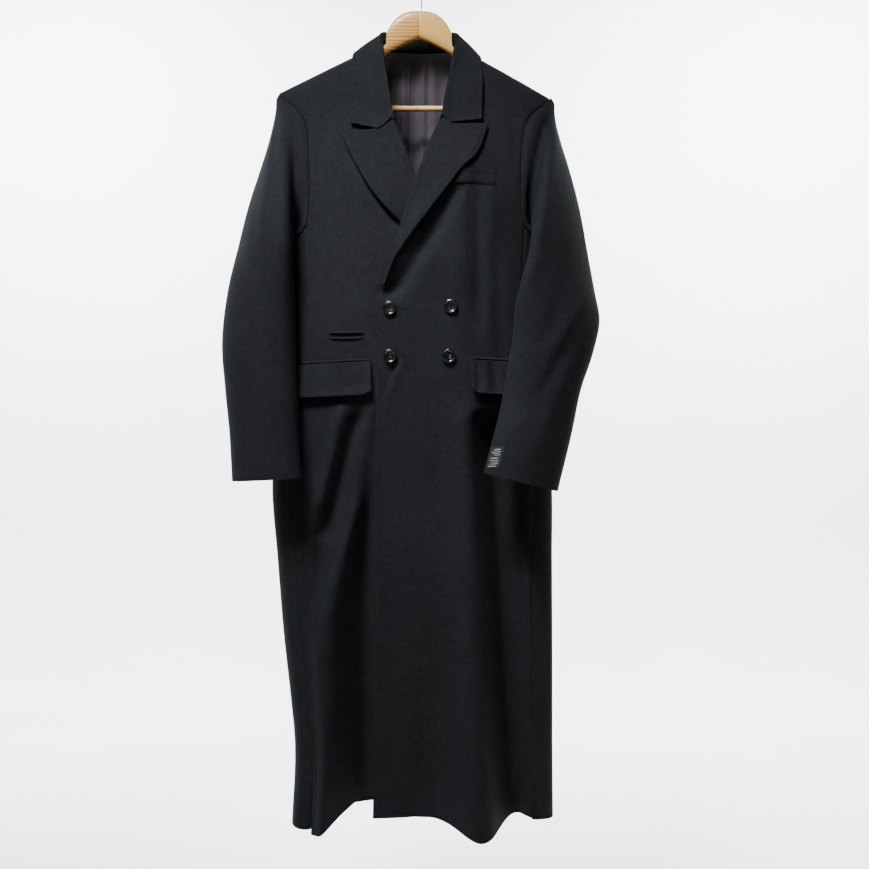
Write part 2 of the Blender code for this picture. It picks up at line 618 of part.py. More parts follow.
def lapel(name, side, finish):
    """A lapel: it turns round the roll line, lies over its front and ends at its own edge."""
    table = np.array(LAPELS[side])
    rows = np.linspace(0.0, 1.0, LAPEL_ROWS)
    knots = np.linspace(0.0, 1.0, len(table))
    roll_x, roll_z, edge_x, edge_z = (through(rows, knots, table[:, n])[:, None] for n in range(4))
    width = np.hypot(edge_x - roll_x, edge_z - roll_z)
    radius = np.minimum(LAPEL_ROLL, width * LAPEL_ROLL_SHARE)
    along_x = (edge_x - roll_x) / width
    along_z = (edge_z - roll_z) / width
    turn = np.linspace(-math.pi / 2, math.pi / 2, 5)[None, :]
    out = radius * (1.0 - np.cos(turn))
    lift = radius * (1.0 + np.sin(turn)) - CLOTH
    flat = np.linspace(0.0, 1.0, 7)[None, 1:]
    out = np.concatenate([out, radius + (width - radius) * flat], axis=1)
    spread = ease(0.0, 1.0, flat)
    high = 2 * radius - CLOTH
    rise = LAPEL_EDGE_LIFT[side] * np.minimum(1.0, width / LAPEL_LIFTS_FROM)
    lift = np.concatenate([lift, high + (np.maximum(rise, high) - high) * spread], axis=1)
    x = roll_x + along_x * out
    z = roll_z + along_z * out
    at_top = 1.0 - ease(0.0, NOTCH_FADES_BY, rows)[:, None]
    share = out / width
    corner = np.where(share < NOTCH_AT, share / NOTCH_AT, (1.0 - share) / (1.0 - NOTCH_AT))
    z = z - NOTCH_DROP * corner * at_top
    y = front_y(x, z, side) - lift
    return wall_object(name, np.stack([x, y, z], -1), finish, side)


def collar(name, finish):
    """The collar: the stand rises from the neck seam, turns over the fold and falls outside it."""
    table = np.array(COLLAR)
    knots = np.linspace(0.0, 1.0, len(table))
    places = np.linspace(0.0, 1.0, COLLAR_STATIONS)
    values = [through(places, knots, table[:, n]) for n in range(9)]
    foot, fold, edge = (np.stack(values[n : n + 3], -1) for n in (0, 3, 6))
    away = edge - fold
    away[:, 2] = 0.0
    away = away / np.linalg.norm(away, axis=1)[:, None]
    up = np.array([0.0, 0.0, 1.0])
    radius = COLLAR_FOLD_RADIUS
    line = [foot, foot + (fold - foot) * 0.5, fold - up * radius * 0.6]
    line.append(fold + away * radius * 0.5 + up * radius * 0.25)
    line.append(fold + away * radius * 1.5 + up * radius * 0.25)
    line.append(fold + away * radius * 2.4 - up * radius * 0.8)
    for share in (0.33, 0.66, 1.0):
        start = line[5]
        line.append(start + (edge - start) * share)
    points = np.stack(line, 1)
    outside = points[:, 5:]
    low = np.minimum(*(front_y(outside[..., 0], outside[..., 2], side) for side in (-1, 1)))
    clear = low - CLOTH - LAYER_GAP * 3
    points[:, 5:, 1] = np.where(outside[..., 1] < 0.0, np.minimum(outside[..., 1], clear), outside[..., 1])
    return wall_object(name, points, finish, 1)


def patch(name, side, xs, zs, gap, thickness, finish):
    """A small flat piece that lies on a front: its points are the front's, moved out."""
    x, z = np.broadcast_arrays(xs, zs)
    points = np.stack([x, front_y(x, z, side), z], -1)
    return wall_object(name, points, finish, np.sign(xs[0, -1] - xs[0, 0]), thickness, gap + thickness)


def flap(name, side, finish):
    """A pocket flap with a rounded front corner and a bottom edge that slopes down towards the side."""
    front, outer, top = FLAPS[name.split("_")[0]]
    s = np.linspace(0.0, 1.0, 9)[None, :]
    t = np.linspace(0.0, 1.0, 5)[:, None]
    height = FLAP_HEIGHT + FLAP_SLOPE * s - FLAP_CORNER * np.exp(-((s / FLAP_CORNER_SHARE) ** 2))
    x = front + (outer - front) * s + 0 * t
    z = top - np.abs(x - front) * FLAP_FALL - height * t
    return patch(name, side, x, z, LAYER_GAP, CLOTH, finish)


def bead(name, side, start, end, top, finish, fall=0.0):
    """A narrow jetting strip."""
    s = np.linspace(start, end, 8)[None, :]
    t = np.linspace(0.0, 1.0, 3)[:, None]
    z = top - BEAD_HEIGHT * t - np.abs(s - start) * fall
    return patch(name, side, s + 0 * z, z, SEAM_GAP, BEAD_THICKNESS, finish)


def chest_welt(finish):
    """The welt of the chest pocket."""
    start, end, top, height = CHEST_WELT
    s = np.linspace(start, end, 7)[None, :]
    t = np.linspace(0.0, 1.0, 4)[:, None]
    z = top - height * t
    return patch("chest_welt", 1, s + 0 * z, z + 0 * s, SEAM_GAP, CLOTH, finish)


def button_mesh(finish):
    """A turned button: a dished face inside a raised rim, with four holes."""
    mesh = bpy.data.meshes.new("button")
    work = bmesh.new()
    profile = (
        (0.0, 0.0),
        (BUTTON_RADIUS * 0.80, 0.0),
        (BUTTON_RADIUS, BUTTON_THICKNESS * 0.45),
        (BUTTON_RADIUS * 0.94, BUTTON_THICKNESS * 0.9),
        (BUTTON_RADIUS * 0.84, BUTTON_THICKNESS),
        (BUTTON_RADIUS - BUTTON_RIM, BUTTON_THICKNESS - BUTTON_DISH),
        (0.0, BUTTON_THICKNESS - BUTTON_DISH * 1.3),
    )
    line = [work.verts.new((r, 0.0, h)) for r, h in profile]
    edges = [work.edges.new(pair) for pair in zip(line, line[1:])]
    turned = line + edges
    bmesh.ops.spin(work, geom=turned, cent=(0, 0, 0), axis=(0, 0, 1), angle=2 * math.pi, steps=BUTTON_SIDES)
    bmesh.ops.remove_doubles(work, verts=work.verts, dist=1e-6)
    bmesh.ops.recalc_face_normals(work, faces=work.faces)
    work.to_mesh(mesh)
    work.free()
    mesh.materials.append(finish)
    mesh.shade_smooth()
    return mesh


def hole_cutter():
    """Four pins that cut the holes of a button."""
    work = bmesh.new()
    for number in range(4):
        angle = math.pi / 4 + number * math.pi / 2
        spot = Vector((math.cos(angle), math.sin(angle), 0.0)) * BUTTON_HOLE_SPREAD
        spot.z = BUTTON_THICKNESS / 2
        bmesh.ops.create_cone(
            work,
            cap_ends=True,
            segments=6,
            radius1=BUTTON_HOLE_RADIUS,
            radius2=BUTTON_HOLE_RADIUS,
            depth=BUTTON_THICKNESS * 3,
            matrix=Matrix.Translation(spot),
        )
    mesh = bpy.data.meshes.new("hole_cutter")
    work.to_mesh(mesh)
    work.free()
    return mesh


def buttons(finish):
    """The four buttons, seated on the over front and turned to face as it does."""
    mesh = button_mesh(finish)
    cutter_mesh = hole_cutter()
    for name, x, z in BUTTONS:
        spot = np.array([x]), np.array([z])
        facing = Vector(outward(*spot, lambda a, b: front_y(a, b, 1), -1)[0])
        place = Vector((x, front_y(*spot, 1)[0], z))
        turn = facing.to_track_quat("Z", "Y")
        made = bpy.data.objects.new(name, mesh)
        bpy.context.collection.objects.link(made)
        made.location = place + facing * (SEAM_GAP * 2)
        made.rotation_mode = "QUATERNION"
        made.rotation_quaternion = turn
        cutter = bpy.data.objects.new(name + "_holes", cutter_mesh)
        bpy.context.collection.objects.link(cutter)
        cutter.parent = made
        cutter.hide_render = True
        cutter.display_type = "WIRE"
        holes = made.modifiers.new("holes", "BOOLEAN")
        holes.operation = "DIFFERENCE"
        holes.object = cutter


def back_lining(finish):
    """The lining inside the upper back, as far down as the neck opening shows it."""
    s = np.linspace(-1.0, 1.0, 9)[None, :]
    t = np.linspace(0.0, 1.0, 9)[:, None]
    x = CENTRE_X + (LINING_TOP + (LINING_LOW - LINING_TOP) * ease(0.0, LINING_WIDENS_BY, t)) * s
    z = BACK_NECK_Z - NECK_DIP - LINING_BELOW_NECK - LINING_LENGTH * t
    points = np.stack([x, back_y(x, z + 0 * x), z + 0 * x], -1)
    return wall_object("back_lining", points, finish, -1, LINING, -CLOTH - LINING_GAP)


def sleeve_label(finish):
    """A blank woven label on the front of the left sleeve."""
    angles = np.linspace(*LABEL_AROUND, 4)
    stations = np.linspace(*LABEL_ALONG, 5)
    points = sleeve_surface(1, angles, stations)
    return wall_object("sleeve_label", points, finish, -1, LABEL_THICKNESS, LABEL_THICKNESS + LABEL_GAP)


def hanger_body(finish):
    """The wooden hanger: oval sections from arm to arm, with a high neck in the middle and deep ends."""
    table = np.array(HANGER_PROFILE)
    half = np.linspace(0.0, 1.0, HANGER_STATIONS) ** HANGER_STATIONS_CLOSE_UP * table[-1, 0]
    out = np.concatenate([-half[:0:-1], half])
    away = np.abs(out)
    top, bottom, thick = (np.interp(away, table[:, 0], table[:, n]) for n in range(1, 4))
    x = out + HANGER_X
    under = ridge(x) - CLOTH - SEAM_GAP * 3
    top = np.where(away > HANGER_NECK, np.minimum(top, under), top)
    top = np.where(away > HANGER_NECK_END, under, top)
    angle = np.linspace(0.0, 2 * math.pi, HANGER_SIDES, endpoint=False) + math.pi / 2
    flat = np.cos(angle)
    tall = np.sin(angle)
    y = thick[:, None] * flat[None, :]
    z = (top + bottom)[:, None] / 2 + (top - bottom)[:, None] / 2 * tall[None, :]
    points = np.stack([x[:, None] + 0 * y, y, z], -1)
    rows, columns = points.shape[:2]
    i, j = np.meshgrid(np.arange(rows - 1), np.arange(columns), indexing="ij")
    k = (j + 1) % columns
    faces = np.stack([i * columns + j, i * columns + k, (i + 1) * columns + k, (i + 1) * columns + j], -1)
    ends = [list(range(columns))[::-1], [(rows - 1) * columns + n for n in range(columns)]]
    mesh = bpy.data.meshes.new("hanger_body")
    mesh.from_pydata(points.reshape(-1, 3).tolist(), [], faces.reshape(-1, 4).tolist() + ends)
    mesh.materials.append(finish)
    work = bmesh.new()
    work.from_mesh(mesh)
    bmesh.ops.recalc_face_normals(work, faces=work.faces)
    work.to_mesh(mesh)
    work.free()
    mesh.shade_smooth()
    made = bpy.data.objects.new("hanger_body", mesh)
    bpy.context.collection.objects.link(made)
    return made


def hanger_bar(finish):
    """The dowel between the ends of the arms."""
    work = bmesh.new()
    across = Matrix.Rotation(math.pi / 2, 4, "Y")
    bmesh.ops.create_cone(
        work,
        cap_ends=True,
        segments=14,
        radius1=BAR_RADIUS,
        radius2=BAR_RADIUS,
        depth=2 * BAR_REACH,
        matrix=Matrix.Translation((HANGER_X, 0.0, BAR_Z)) @ across,
    )
    mesh = bpy.data.meshes.new("hanger_bar")
    work.to_mesh(mesh)
    work.free()
    mesh.materials.append(finish)
    mesh.shade_smooth()
    made = bpy.data.objects.new("hanger_bar", mesh)
    bpy.context.collection.objects.link(made)
    return made


def hanger_hook(finish):
    """The wire hook: a stem out of the wood, then most of a turn, whose inside top is the origin."""
    radius = HOOK_INSIDE + HOOK_WIRE
    stem = [(0.0, HANGER_PROFILE[0][1] + SEAM_GAP), (0.0, -0.062), (0.0015, -0.050), (0.0055, -0.0415)]
    angles = np.linspace(*HOOK_TURN, HOOK_STEPS)
    turn = [(radius * math.cos(a), -HOOK_INSIDE + radius * math.sin(a)) for a in angles]
    points = stem + turn
    curve = bpy.data.curves.new("hanger_hook", "CURVE")
    curve.dimensions = "3D"
    curve.bevel_depth = HOOK_WIRE
    curve.bevel_resolution = 2
    curve.use_fill_caps = True
    spline = curve.splines.new("POLY")
    spline.points.add(len(points) - 1)
    for point, (x, z) in zip(spline.points, points):
        point.co = (x, 0.0, z, 1.0)
    curve.materials.append(finish)
    made = bpy.data.objects.new("hanger_hook", curve)
    bpy.context.collection.objects.link(made)
    return made


def build():
    """Every piece of the coat and its hanger."""
    clear_scene()
    wool = material("coat wool", (0.014, 0.017, 0.019), 0.9)
    lining = material("coat lining", (0.030, 0.024, 0.030), 0.6)
    horn = material("button horn", (0.008, 0.008, 0.009), 0.25)
    tape = material("label tape", (0.040, 0.042, 0.045), 0.8)
    wood = material("hanger wood", (0.60, 0.40, 0.22), 0.35)
    wire = material("hook wire", (0.55, 0.55, 0.56), 0.3, 1.0)
    front_panel("right_front", -1, wool)
    front_panel("left_front", 1, wool)
    for side, name in ((-1, "right"), (1, "left")):
        back_panel(name + "_back", side, wool)
        side_panel(name + "_side", side, wool)
        start, end = SLEEVE_SEAMS
        sleeve_piece(name + "_top_sleeve", side, start, end, wool)
        sleeve_piece(name + "_under_sleeve", side, end, start + SLEEVE_AROUND, wool)
        flap(name + "_flap", side, wool)
        front, outer, top = FLAPS[name]
        bead(name + "_jetting", side, front, outer, top + BEAD_HEIGHT + SEAM_GAP, wool, FLAP_FALL)
    start, end, top = TICKET_POCKET
    bead("ticket_jetting_upper", -1, start, end, top, wool)
    bead("ticket_jetting_lower", -1, start, end, top - BEAD_HEIGHT - TICKET_SLIT, wool)
    lapel("right_lapel", -1, wool)
    lapel("left_lapel", 1, wool)
    collar("collar", wool)
    chest_welt(wool)
    buttons(horn)
    back_lining(lining)
    sleeve_label(tape)
    hanger_body(wood)
    hanger_bar(wood)
    hanger_hook(wire)


build()
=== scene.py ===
"""Looks of a long double-breasted overcoat that hangs on a wooden hanger with a trouser bar.

Metres, +Z up. The front faces -Y and +X is on the right of someone who looks at the front; right and left
in the names are the wearer's, so the wearer's right is at -X. Each cloth piece is a thin shell on the form
of its solid, with finer rows, soft creases, turned edges and seams that draw the cloth in.
"""

import logging
import math
from dataclasses import dataclass, field
from enum import Enum
from typing import ClassVar

import bpy
import numpy as np
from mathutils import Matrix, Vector


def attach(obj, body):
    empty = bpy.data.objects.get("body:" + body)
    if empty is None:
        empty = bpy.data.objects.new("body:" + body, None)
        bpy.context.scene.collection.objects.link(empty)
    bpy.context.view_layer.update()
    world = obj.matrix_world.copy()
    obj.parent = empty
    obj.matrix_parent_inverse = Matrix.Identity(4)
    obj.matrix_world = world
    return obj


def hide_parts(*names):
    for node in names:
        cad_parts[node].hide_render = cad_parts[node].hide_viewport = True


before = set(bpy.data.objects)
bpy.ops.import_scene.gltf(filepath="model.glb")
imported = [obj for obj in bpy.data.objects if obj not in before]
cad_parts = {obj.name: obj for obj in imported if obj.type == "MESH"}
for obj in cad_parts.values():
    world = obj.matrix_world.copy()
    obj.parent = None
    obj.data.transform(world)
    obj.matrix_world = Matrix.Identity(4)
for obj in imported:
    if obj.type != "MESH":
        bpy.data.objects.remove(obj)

LOG = logging.getLogger("overcoat")
ROOT = "root"
MM = 0.001
HEM_Z = -1.413
CLOTH = 0.0022
Array = np.ndarray
Table = tuple[tuple[float, ...], ...]
Material = bpy.types.Material
Socket = bpy.types.NodeSocket


class Side(Enum):
    """The wearer's side of the coat; its value is the sign of X there."""

    RIGHT = -1
    LEFT = 1

    @property
    def word(self) -> str:
        """The word that starts the names of this side's pieces."""
        return "right" if self is Side.RIGHT else "left"


class Face(Enum):
    """Which way a sheet of the body looks; its value is the sign of Y there."""

    FRONT = -1
    BACK = 1


def ease(low: float, high: float, value: Array) -> Array:
    """Blend smoothly between two values.

    Args:
        low: Where the blend is 0.
        high: Where the blend is 1; it may lie below low.
        value: Places to work it out at.

    Returns:
        3t² − 2t³ of the share t of the way from low to high, held to 0..1.
    """
    t = np.clip((value - low) / (high - low), 0.0, 1.0)
    return t * t * (3 - 2 * t)


def bell(away: Array, width: float | Array) -> Array:
    """Give the bell curve e^−(away/width)² that soft ridges and seams use."""
    return np.exp(-((away / width) ** 2))


def through(places: Array, knots: Array, values: Array) -> Array:
    """Run a smooth curve through knots, with cubic steps whose slope at a knot is that of its neighbours.

    Args:
        places: Where to read the curve; they are held to the range of the knots.
        knots: Rising or falling places of the knots.
        values: Values at the knots.

    Returns:
        Values at the places.
    """
    knots = np.asarray(knots, float)
    values = np.asarray(values, float)
    if knots[0] > knots[-1]:
        knots, values = knots[::-1], values[::-1]
    slopes = np.gradient(values, knots, axis=0)
    places = np.clip(places, knots[0], knots[-1])
    step = np.clip(np.searchsorted(knots, places) - 1, 0, len(knots) - 2)
    width = (knots[step + 1] - knots[step]).reshape(step.shape + (1,) * (values.ndim - 1))
    t = (places - knots[step]).reshape(width.shape) / width
    rise = (2 * t**3 - 3 * t**2 + 1) * values[step] + (3 * t**2 - 2 * t**3) * values[step + 1]
    return rise + ((t**3 - 2 * t**2 + t) * slopes[step] + (t**3 - t**2) * slopes[step + 1]) * width


def unit(vectors: Array) -> Array:
    """Scale vectors along the last axis to length 1."""
    return vectors / np.maximum(np.linalg.norm(vectors, axis=-1, keepdims=True), 1e-12)


def metres(*rows: tuple[float, ...]) -> Table:
    """Turn a table in millimetres into metres."""
    return tuple(tuple(value * MM for value in row) for row in rows)


def lengths_along(line: Array) -> Array:
    """Add up the distances along a line of points, from 0 at its first."""
    return np.concatenate([[0.0], np.cumsum(np.linalg.norm(np.diff(line, axis=0), axis=1))])


def facing_of(points: Array, outwards: float) -> Array:
    """Unit normals of a grid of points: the cross product of its two slopes, turned by the sign given."""
    along = np.gradient(points, axis=0, edge_order=2)
    across = np.gradient(points, axis=1, edge_order=2)
    return unit(np.cross(along, across) * outwards)


def softness(x: Array, z: Array, seed: float) -> Array:
    """Give the slight unevenness of pressed wool: a sum of five slow waves in X and Z, from −1 to 1.

    Args:
        x: Places across.
        z: Heights.
        seed: A number that shifts the waves, so that two pieces differ.

    Returns:
        The sum, the same on each run.
    """
    waves = ((31.0, 9.0), (-17.0, 13.0), (57.0, -7.0), (11.0, 37.0), (-43.0, 21.0))
    total = sum(np.sin(a * x + b * z + seed * (n + 1.7)) for n, (a, b) in enumerate(waves))
    return total / len(waves)


@dataclass(frozen=True)
class Fold:
    """A soft ridge along a slanting line, or a trough where its lift is negative.

    The lift dies away from the line as a bell curve, and grows in and out at the line's ends over fade.
    """

    top_x: float
    top_z: float
    low_x: float
    low_z: float
    top_width: float
    low_width: float
    top_lift: float
    low_lift: float
    fade: float = 0.09
    lean: float = 0.0

    def lift(self, x: Array, z: Array) -> Array:
        """Work out the lift of this fold.

        Args:
            x: Places across.
            z: Heights.

        Returns:
            Metres by which the cloth stands out. With a lean one flank is steeper than the other.
        """
        down = np.clip((self.top_z - z) / (self.top_z - self.low_z), 0.0, 1.0)
        width = self.top_width + (self.low_width - self.top_width) * down
        away = (x - self.top_x - (self.low_x - self.top_x) * down) / width
        away = away * (1.0 + self.lean * np.tanh(2.0 * away))
        starts = ease(self.top_z + self.fade, self.top_z - self.fade / 2, z)
        ends = 1.0 if self.low_z < HEM_Z else ease(self.low_z - self.fade, self.low_z + self.fade / 2, z)
        return (self.top_lift + (self.low_lift - self.top_lift) * down) * np.exp(-away * away) * starts * ends


def folds(*rows: tuple[float, ...]) -> tuple[Fold, ...]:
    """Make folds from a table in millimetres, but for the lean, which is the tenth number of a row."""
    return tuple(Fold(*(value * MM for value in row[:9]), *row[9:]) for row in rows)


def lifted(ridges: tuple[Fold, ...], x: Array, z: Array) -> Array:
    """Add up the lifts of several folds at the places given."""
    total = np.zeros(np.broadcast(x, z).shape)
    for fold in ridges:
        total = total + fold.lift(x, z)
    return total


@dataclass(frozen=True)
class BodyForm:
    """The hanging form of the coat's body: squared ovals from the shoulders to the hem, with their folds."""

    levels: Table = metres(  # height, left edge, right edge, mid plane, depth ahead, depth behind
        (-100, -244, 226, 0, 46, 36), (-200, -240, 222, 0, 61, 42), (-262, -236, 218, 1, 70, 44),
        (-340, -232, 214, 2, 80, 45), (-466, -221, 203, 4, 87, 46), (-560, -223, 200, 6, 90, 46),
        (-660, -233, 206, 8, 88, 45), (-760, -243, 214, 10, 82, 45), (-861, -253, 221, 12, 74, 46),
        (-996, -244, 221, 12, 66, 48), (-1130, -233, 221, 12, 60, 50), (-1231, -222, 221, 12, 57, 52),
        (-1298, -216, 221, 12, 56, 54), (-1445, -221, 222, 12, 56, 56),
    )
    squareness: float = 2.6
    centre_x: float = -0.009
    front_roll: float = 0.17
    back_roll: float = 0.08
    seam_share: float = 0.84
    folds_stop_share: float = 0.12
    shoulders: ClassVar[dict[int, tuple[float, float, float]]] = {
        -1: (0.067, -0.134, 0.493),
        1: (0.074, -0.137, 0.555),
    }
    ridge_round: float = 0.06
    back_neck_z: float = -0.131
    neck_dip: float = 0.003
    hem_starts_z: float = -0.95
    hem_drop: float = 0.014
    hem_follows: float = 0.42
    hem_lobe: tuple[float, float, float] = (-0.195, 0.017, 0.045)  # place, how much lower, width
    underarm_z: float = -0.466
    underarm_rise: float = 0.02
    over_lifts: Table = metres(
        (-100, 0), (-270, 0), (-345, 8), (-500, 8), (-570, 3.2), (-1500, 3.2),
    )
    over_fades: tuple[float, float] = (0.07, 0.125)
    armholes: ClassVar[dict[int, Table]] = {
        -1: metres(
            (-213.5, 229, 229), (-225, 219, 224), (-250, 195, 212), (-275, 182, 204), (-310, 177, 200),
            (-370, 175, 196), (-410, 176, 189), (-440, 180, 180),
        ),
        1: metres(
            (-221.9, 227, 227), (-232, 218, 222), (-255, 193, 210), (-280, 180, 202), (-310, 175, 198),
            (-370, 173, 194), (-410, 175, 187), (-440, 179, 179),
        ),
    }
    hollows: tuple[Fold, ...] = folds(  # where both fronts sink under the lapels' free edges
        (60, -386, -44, -556, 15, 19, -4, -12.5, 20), (-128, -318, -40, -438, 8, 10, -2, -6, 20),
    )
    large_folds: ClassVar[dict[int, tuple[Fold, ...]]] = {
        -1: folds(
            (-100, -860, -88, -1440, 22, 40, -4, -50), (-114, -920, -160, -1110, 14, 30, 4, 14),
            (-160, -1110, -172, -1440, 30, 30, 14, 26), (-142, -840, -172, -930, 14, 16, 5, 3),
        ),
        1: folds(
            (62, -700, 96, -1440, 30, 44, 2, 54), (142, -860, 165, -1440, 24, 30, -12, -12),
        ),
        0: folds(
            (-90, -620, -120, -1440, 40, 50, 3, 30), (95, -640, 118, -1440, 40, 52, 3, 26),
            (-12, -800, -6, -1440, 30, 34, -2, -18),
        ),
    }
    creases: ClassVar[dict[int, tuple[Fold, ...]]] = {
        -1: folds(
            (-130, -745, -166, -905, 11, 15, 8, 9.5, 20), (-104, -755, -160, -950, 11, 17, -12, -12, 20),
            (-82, -740, -112, -940, 10, 14, 4, 6, 50), (-100, -890, -152, -1080, 11, 17, 10, 7, 40),
            (-168, -960, -170, -1120, 10, 18, -8, -5, 50), (-88, -900, -98, -1440, 18, 30, -16, -12, 80),
            (-190, -880, -196, -1200, 12, 16, -4.5, -5, 70),
            (-120, -1080, -138, -1440, 14, 16, -5, -9, 80),
            (-104, -320, -100, -610, 20, 24, 1.2, 1.2, 60), (-160, -500, -150, -650, 14, 18, -2, -2, 60),
            (-150, -250, -164, -330, 12, 10, -2.5, -2, 30),
        ),
        1: folds(
            (90, -390, 94, -580, 12, 13, -6, -5, 60), (116, -400, 112, -640, 14, 16, 4, 3, 60),
            (58, -420, 62, -640, 16, 18, 2.6, 2, 60), (120, -480, 126, -660, 12, 14, -3, -3, 60),
            (-36, -660, -62, -722, 6, 5, -2.2, -1.8, 18), (-28, -665, -56, -728, 7, 6, 1.6, 1.2, 18),
            (0, -760, 10, -1100, 30, 34, 2.2, 3, 120), (-44, -820, -46, -1300, 16, 18, -1.4, -1.8, 120),
            (76, -750, 114, -1440, 14, 16, 6, 9, 20, 0.35), (113, -760, 150, -1440, 23, 25, -34, -27, 20),
            (20, -1180, 6, -1440, 22, 30, -3, -8, 100), (150, -250, 158, -330, 12, 10, -2.2, -2, 30),
        ),
        0: folds(
            (-150, -230, -160, -420, 16, 20, -3, -2, 60), (140, -240, 152, -430, 16, 22, -3, -2, 60),
            (-60, -480, -30, -640, 20, 16, 2.2, 1.8, 60), (60, -520, 38, -700, 18, 18, 2, 1.6, 60),
            (-150, -700, -165, -1440, 16, 24, -3, -8, 90), (148, -760, 160, -1440, 16, 22, -2.6, -7, 90),
            (48, -900, 56, -1440, 20, 24, -2, -6, 90),
        ),
    }

    def column(self, number: int) -> Array:
        """One column of the table of levels."""
        return np.array([row[number] for row in self.levels])

    def section(self, z: Array) -> tuple[Array, Array, Array, Array, Array]:
        """Read the squared oval at a height.

        Args:
            z: Heights.

        Returns:
            Centre, half width, mid plane, depth ahead and depth behind.
        """
        heights = self.column(0)
        left, right, mid, ahead, behind = (through(z, heights, self.column(n)) for n in range(1, 6))
        return (left + right) / 2, (right - left) / 2, mid, ahead, behind

    def ridge(self, x: Array) -> Array:
        """Height of the shoulder ridge: it falls evenly from each neck point and is round at the neck."""
        out = np.abs(x - self.centre_x)
        out = np.where(out < self.ridge_round, self.ridge_round / 2 + out * out / (2 * self.ridge_round), out)
        right, left = (high - (out - neck) * fall for neck, high, fall in self.shoulders.values())
        return np.where(x < self.centre_x, right, left)

    def depth(self, x: Array, z: Array, face: Face, key: int) -> Array:
        """Work out the outer face of the body's cloth.

        Args:
            x: Places across.
            z: Heights.
            face: The front or the back.
            key: Which folds it carries: -1 and 1 for the fronts and 0 for the back.

        Returns:
            Y of the cloth: the oval |x|ⁿ + |y|ⁿ = 1, closed over the shoulder ridge, plus its folds.
        """
        centre, half, mid, ahead, behind = self.section(z)
        across = np.clip(np.abs(x - centre) / half, 0.0, 1.0)
        rounded = (1.0 - across**self.squareness) ** (1.0 / self.squareness)
        roll = self.front_roll if face is Face.FRONT else self.back_roll
        drop = np.clip((self.ridge(x) - z) / roll, 0.0, 1.0)
        reach = (ahead if face is Face.FRONT else behind) * rounded * np.sqrt(1.0 - (1.0 - drop) ** 2)
        inside = 1.0 - ease(self.seam_share - self.folds_stop_share, self.seam_share, across)
        lift = lifted(self.large_folds[key], x, z) + lifted(self.creases[key], x, z) * ease(0.0, 0.3, drop)
        lift = lift + 0.0004 * softness(x, z, 3.0 + key) * ease(0.0, 0.3, drop)
        if key == 1:
            near = 1.0 - ease(*self.over_fades, x)
            heights, lifts = np.array(self.over_lifts).T
            reach = reach + near * np.interp(-z, -heights, lifts)
        return mid + face.value * (reach + lift * inside)

    def outward(self, x: Array, z: Array, face: Face, key: int, step: float = 0.003) -> Array:
        """Work out the normals of the front or the back.

        Args:
            x: Places across.
            z: Heights.
            face: The front or the back.
            key: Which folds it carries.
            step: Distance each way over which the slopes are taken.

        Returns:
            Unit normals.
        """
        slope_x = (self.depth(x + step, z, face, key) - self.depth(x - step, z, face, key)) / (2 * step)
        slope_z = (self.depth(x, z + step, face, key) - self.depth(x, z - step, face, key)) / (2 * step)
        return unit(np.stack([-slope_x, np.ones_like(slope_x), -slope_z], -1) * face.value)

    def hem(self, x: Array, z: Array, lift: Array) -> Array:
        """Work out the height of the hem.

        Args:
            x: Places across.
            z: Heights, for the oval's width.
            lift: How far the folds carry the cloth out there.

        Returns:
            Heights: lower at the sides, in one lobe, and where a fold stands out.
        """
        centre, half, *_ = self.section(z)
        place, lower, width = self.hem_lobe
        drop = self.hem_drop * ((x - centre) / half) ** 2 + lower * bell(x - place, width)
        return HEM_Z - drop - self.hem_follows * lift

    def to_hem(self, x: Array, z: Array, key: int) -> Array:
        """Draw heights in the skirt down, so that the last row lies on the hem."""
        lift = lifted(self.large_folds[key], x, z)
        return z + ease(self.hem_starts_z, HEM_Z, z) * (self.hem(x, z, lift) - HEM_Z)

    def armhole_x(self, z: Array, side: Side, number: int) -> Array:
        """Follow the armhole edge and, lower down, the side seam.

        Args:
            z: Heights.
            side: Which armhole.
            number: 1 for the front and 2 for the back.

        Returns:
            Places across.
        """
        table = np.array(self.armholes[side.value])
        centre, half, *_ = self.section(z)
        seam = centre + side.value * half * self.seam_share
        edge = self.centre_x + side.value * through(z, table[:, 0], table[:, number])
        return np.where(z < table[-1, 0], seam, edge)

    def side_point(self, turn: Array, z: Array, side: Side) -> Array:
        """Find points on the body's side.

        Args:
            turn: -1 is the front side seam, 0 the side itself and 1 the back side seam.
            z: Heights.
            side: Which side.

        Returns:
            Points of the squared oval.
        """
        centre, half, mid, ahead, behind = self.section(z)
        seam = math.asin(self.seam_share ** (self.squareness / 2))
        angle = math.pi / 2 + turn * (math.pi / 2 - seam)
        x = centre + side.value * half * np.abs(np.sin(angle)) ** (2 / self.squareness)
        reach = np.abs(np.cos(angle)) ** (2 / self.squareness)
        y = np.where(turn < 0, mid - ahead * reach, mid + behind * reach)
        return np.stack(np.broadcast_arrays(x, y, z), -1)


class Edge(Enum):
    """The four edges of a grid of points."""

    TOP = "first row"
    BOTTOM = "last row"
    START = "first column"
    END = "last column"


class Ending(Enum):
    """How the cloth ends at an edge."""

    SEAM = "sewn to its neighbour"
    TURNED = "turned in and picked by hand"
    HEM = "turned up"
    HIDDEN = "out of sight"


def endings(top: Ending, bottom: Ending, start: Ending, end: Ending) -> dict[Edge, Ending]:
    """Say how the cloth ends at each of its edges."""
    return dict(zip(Edge, (top, bottom, start, end)))


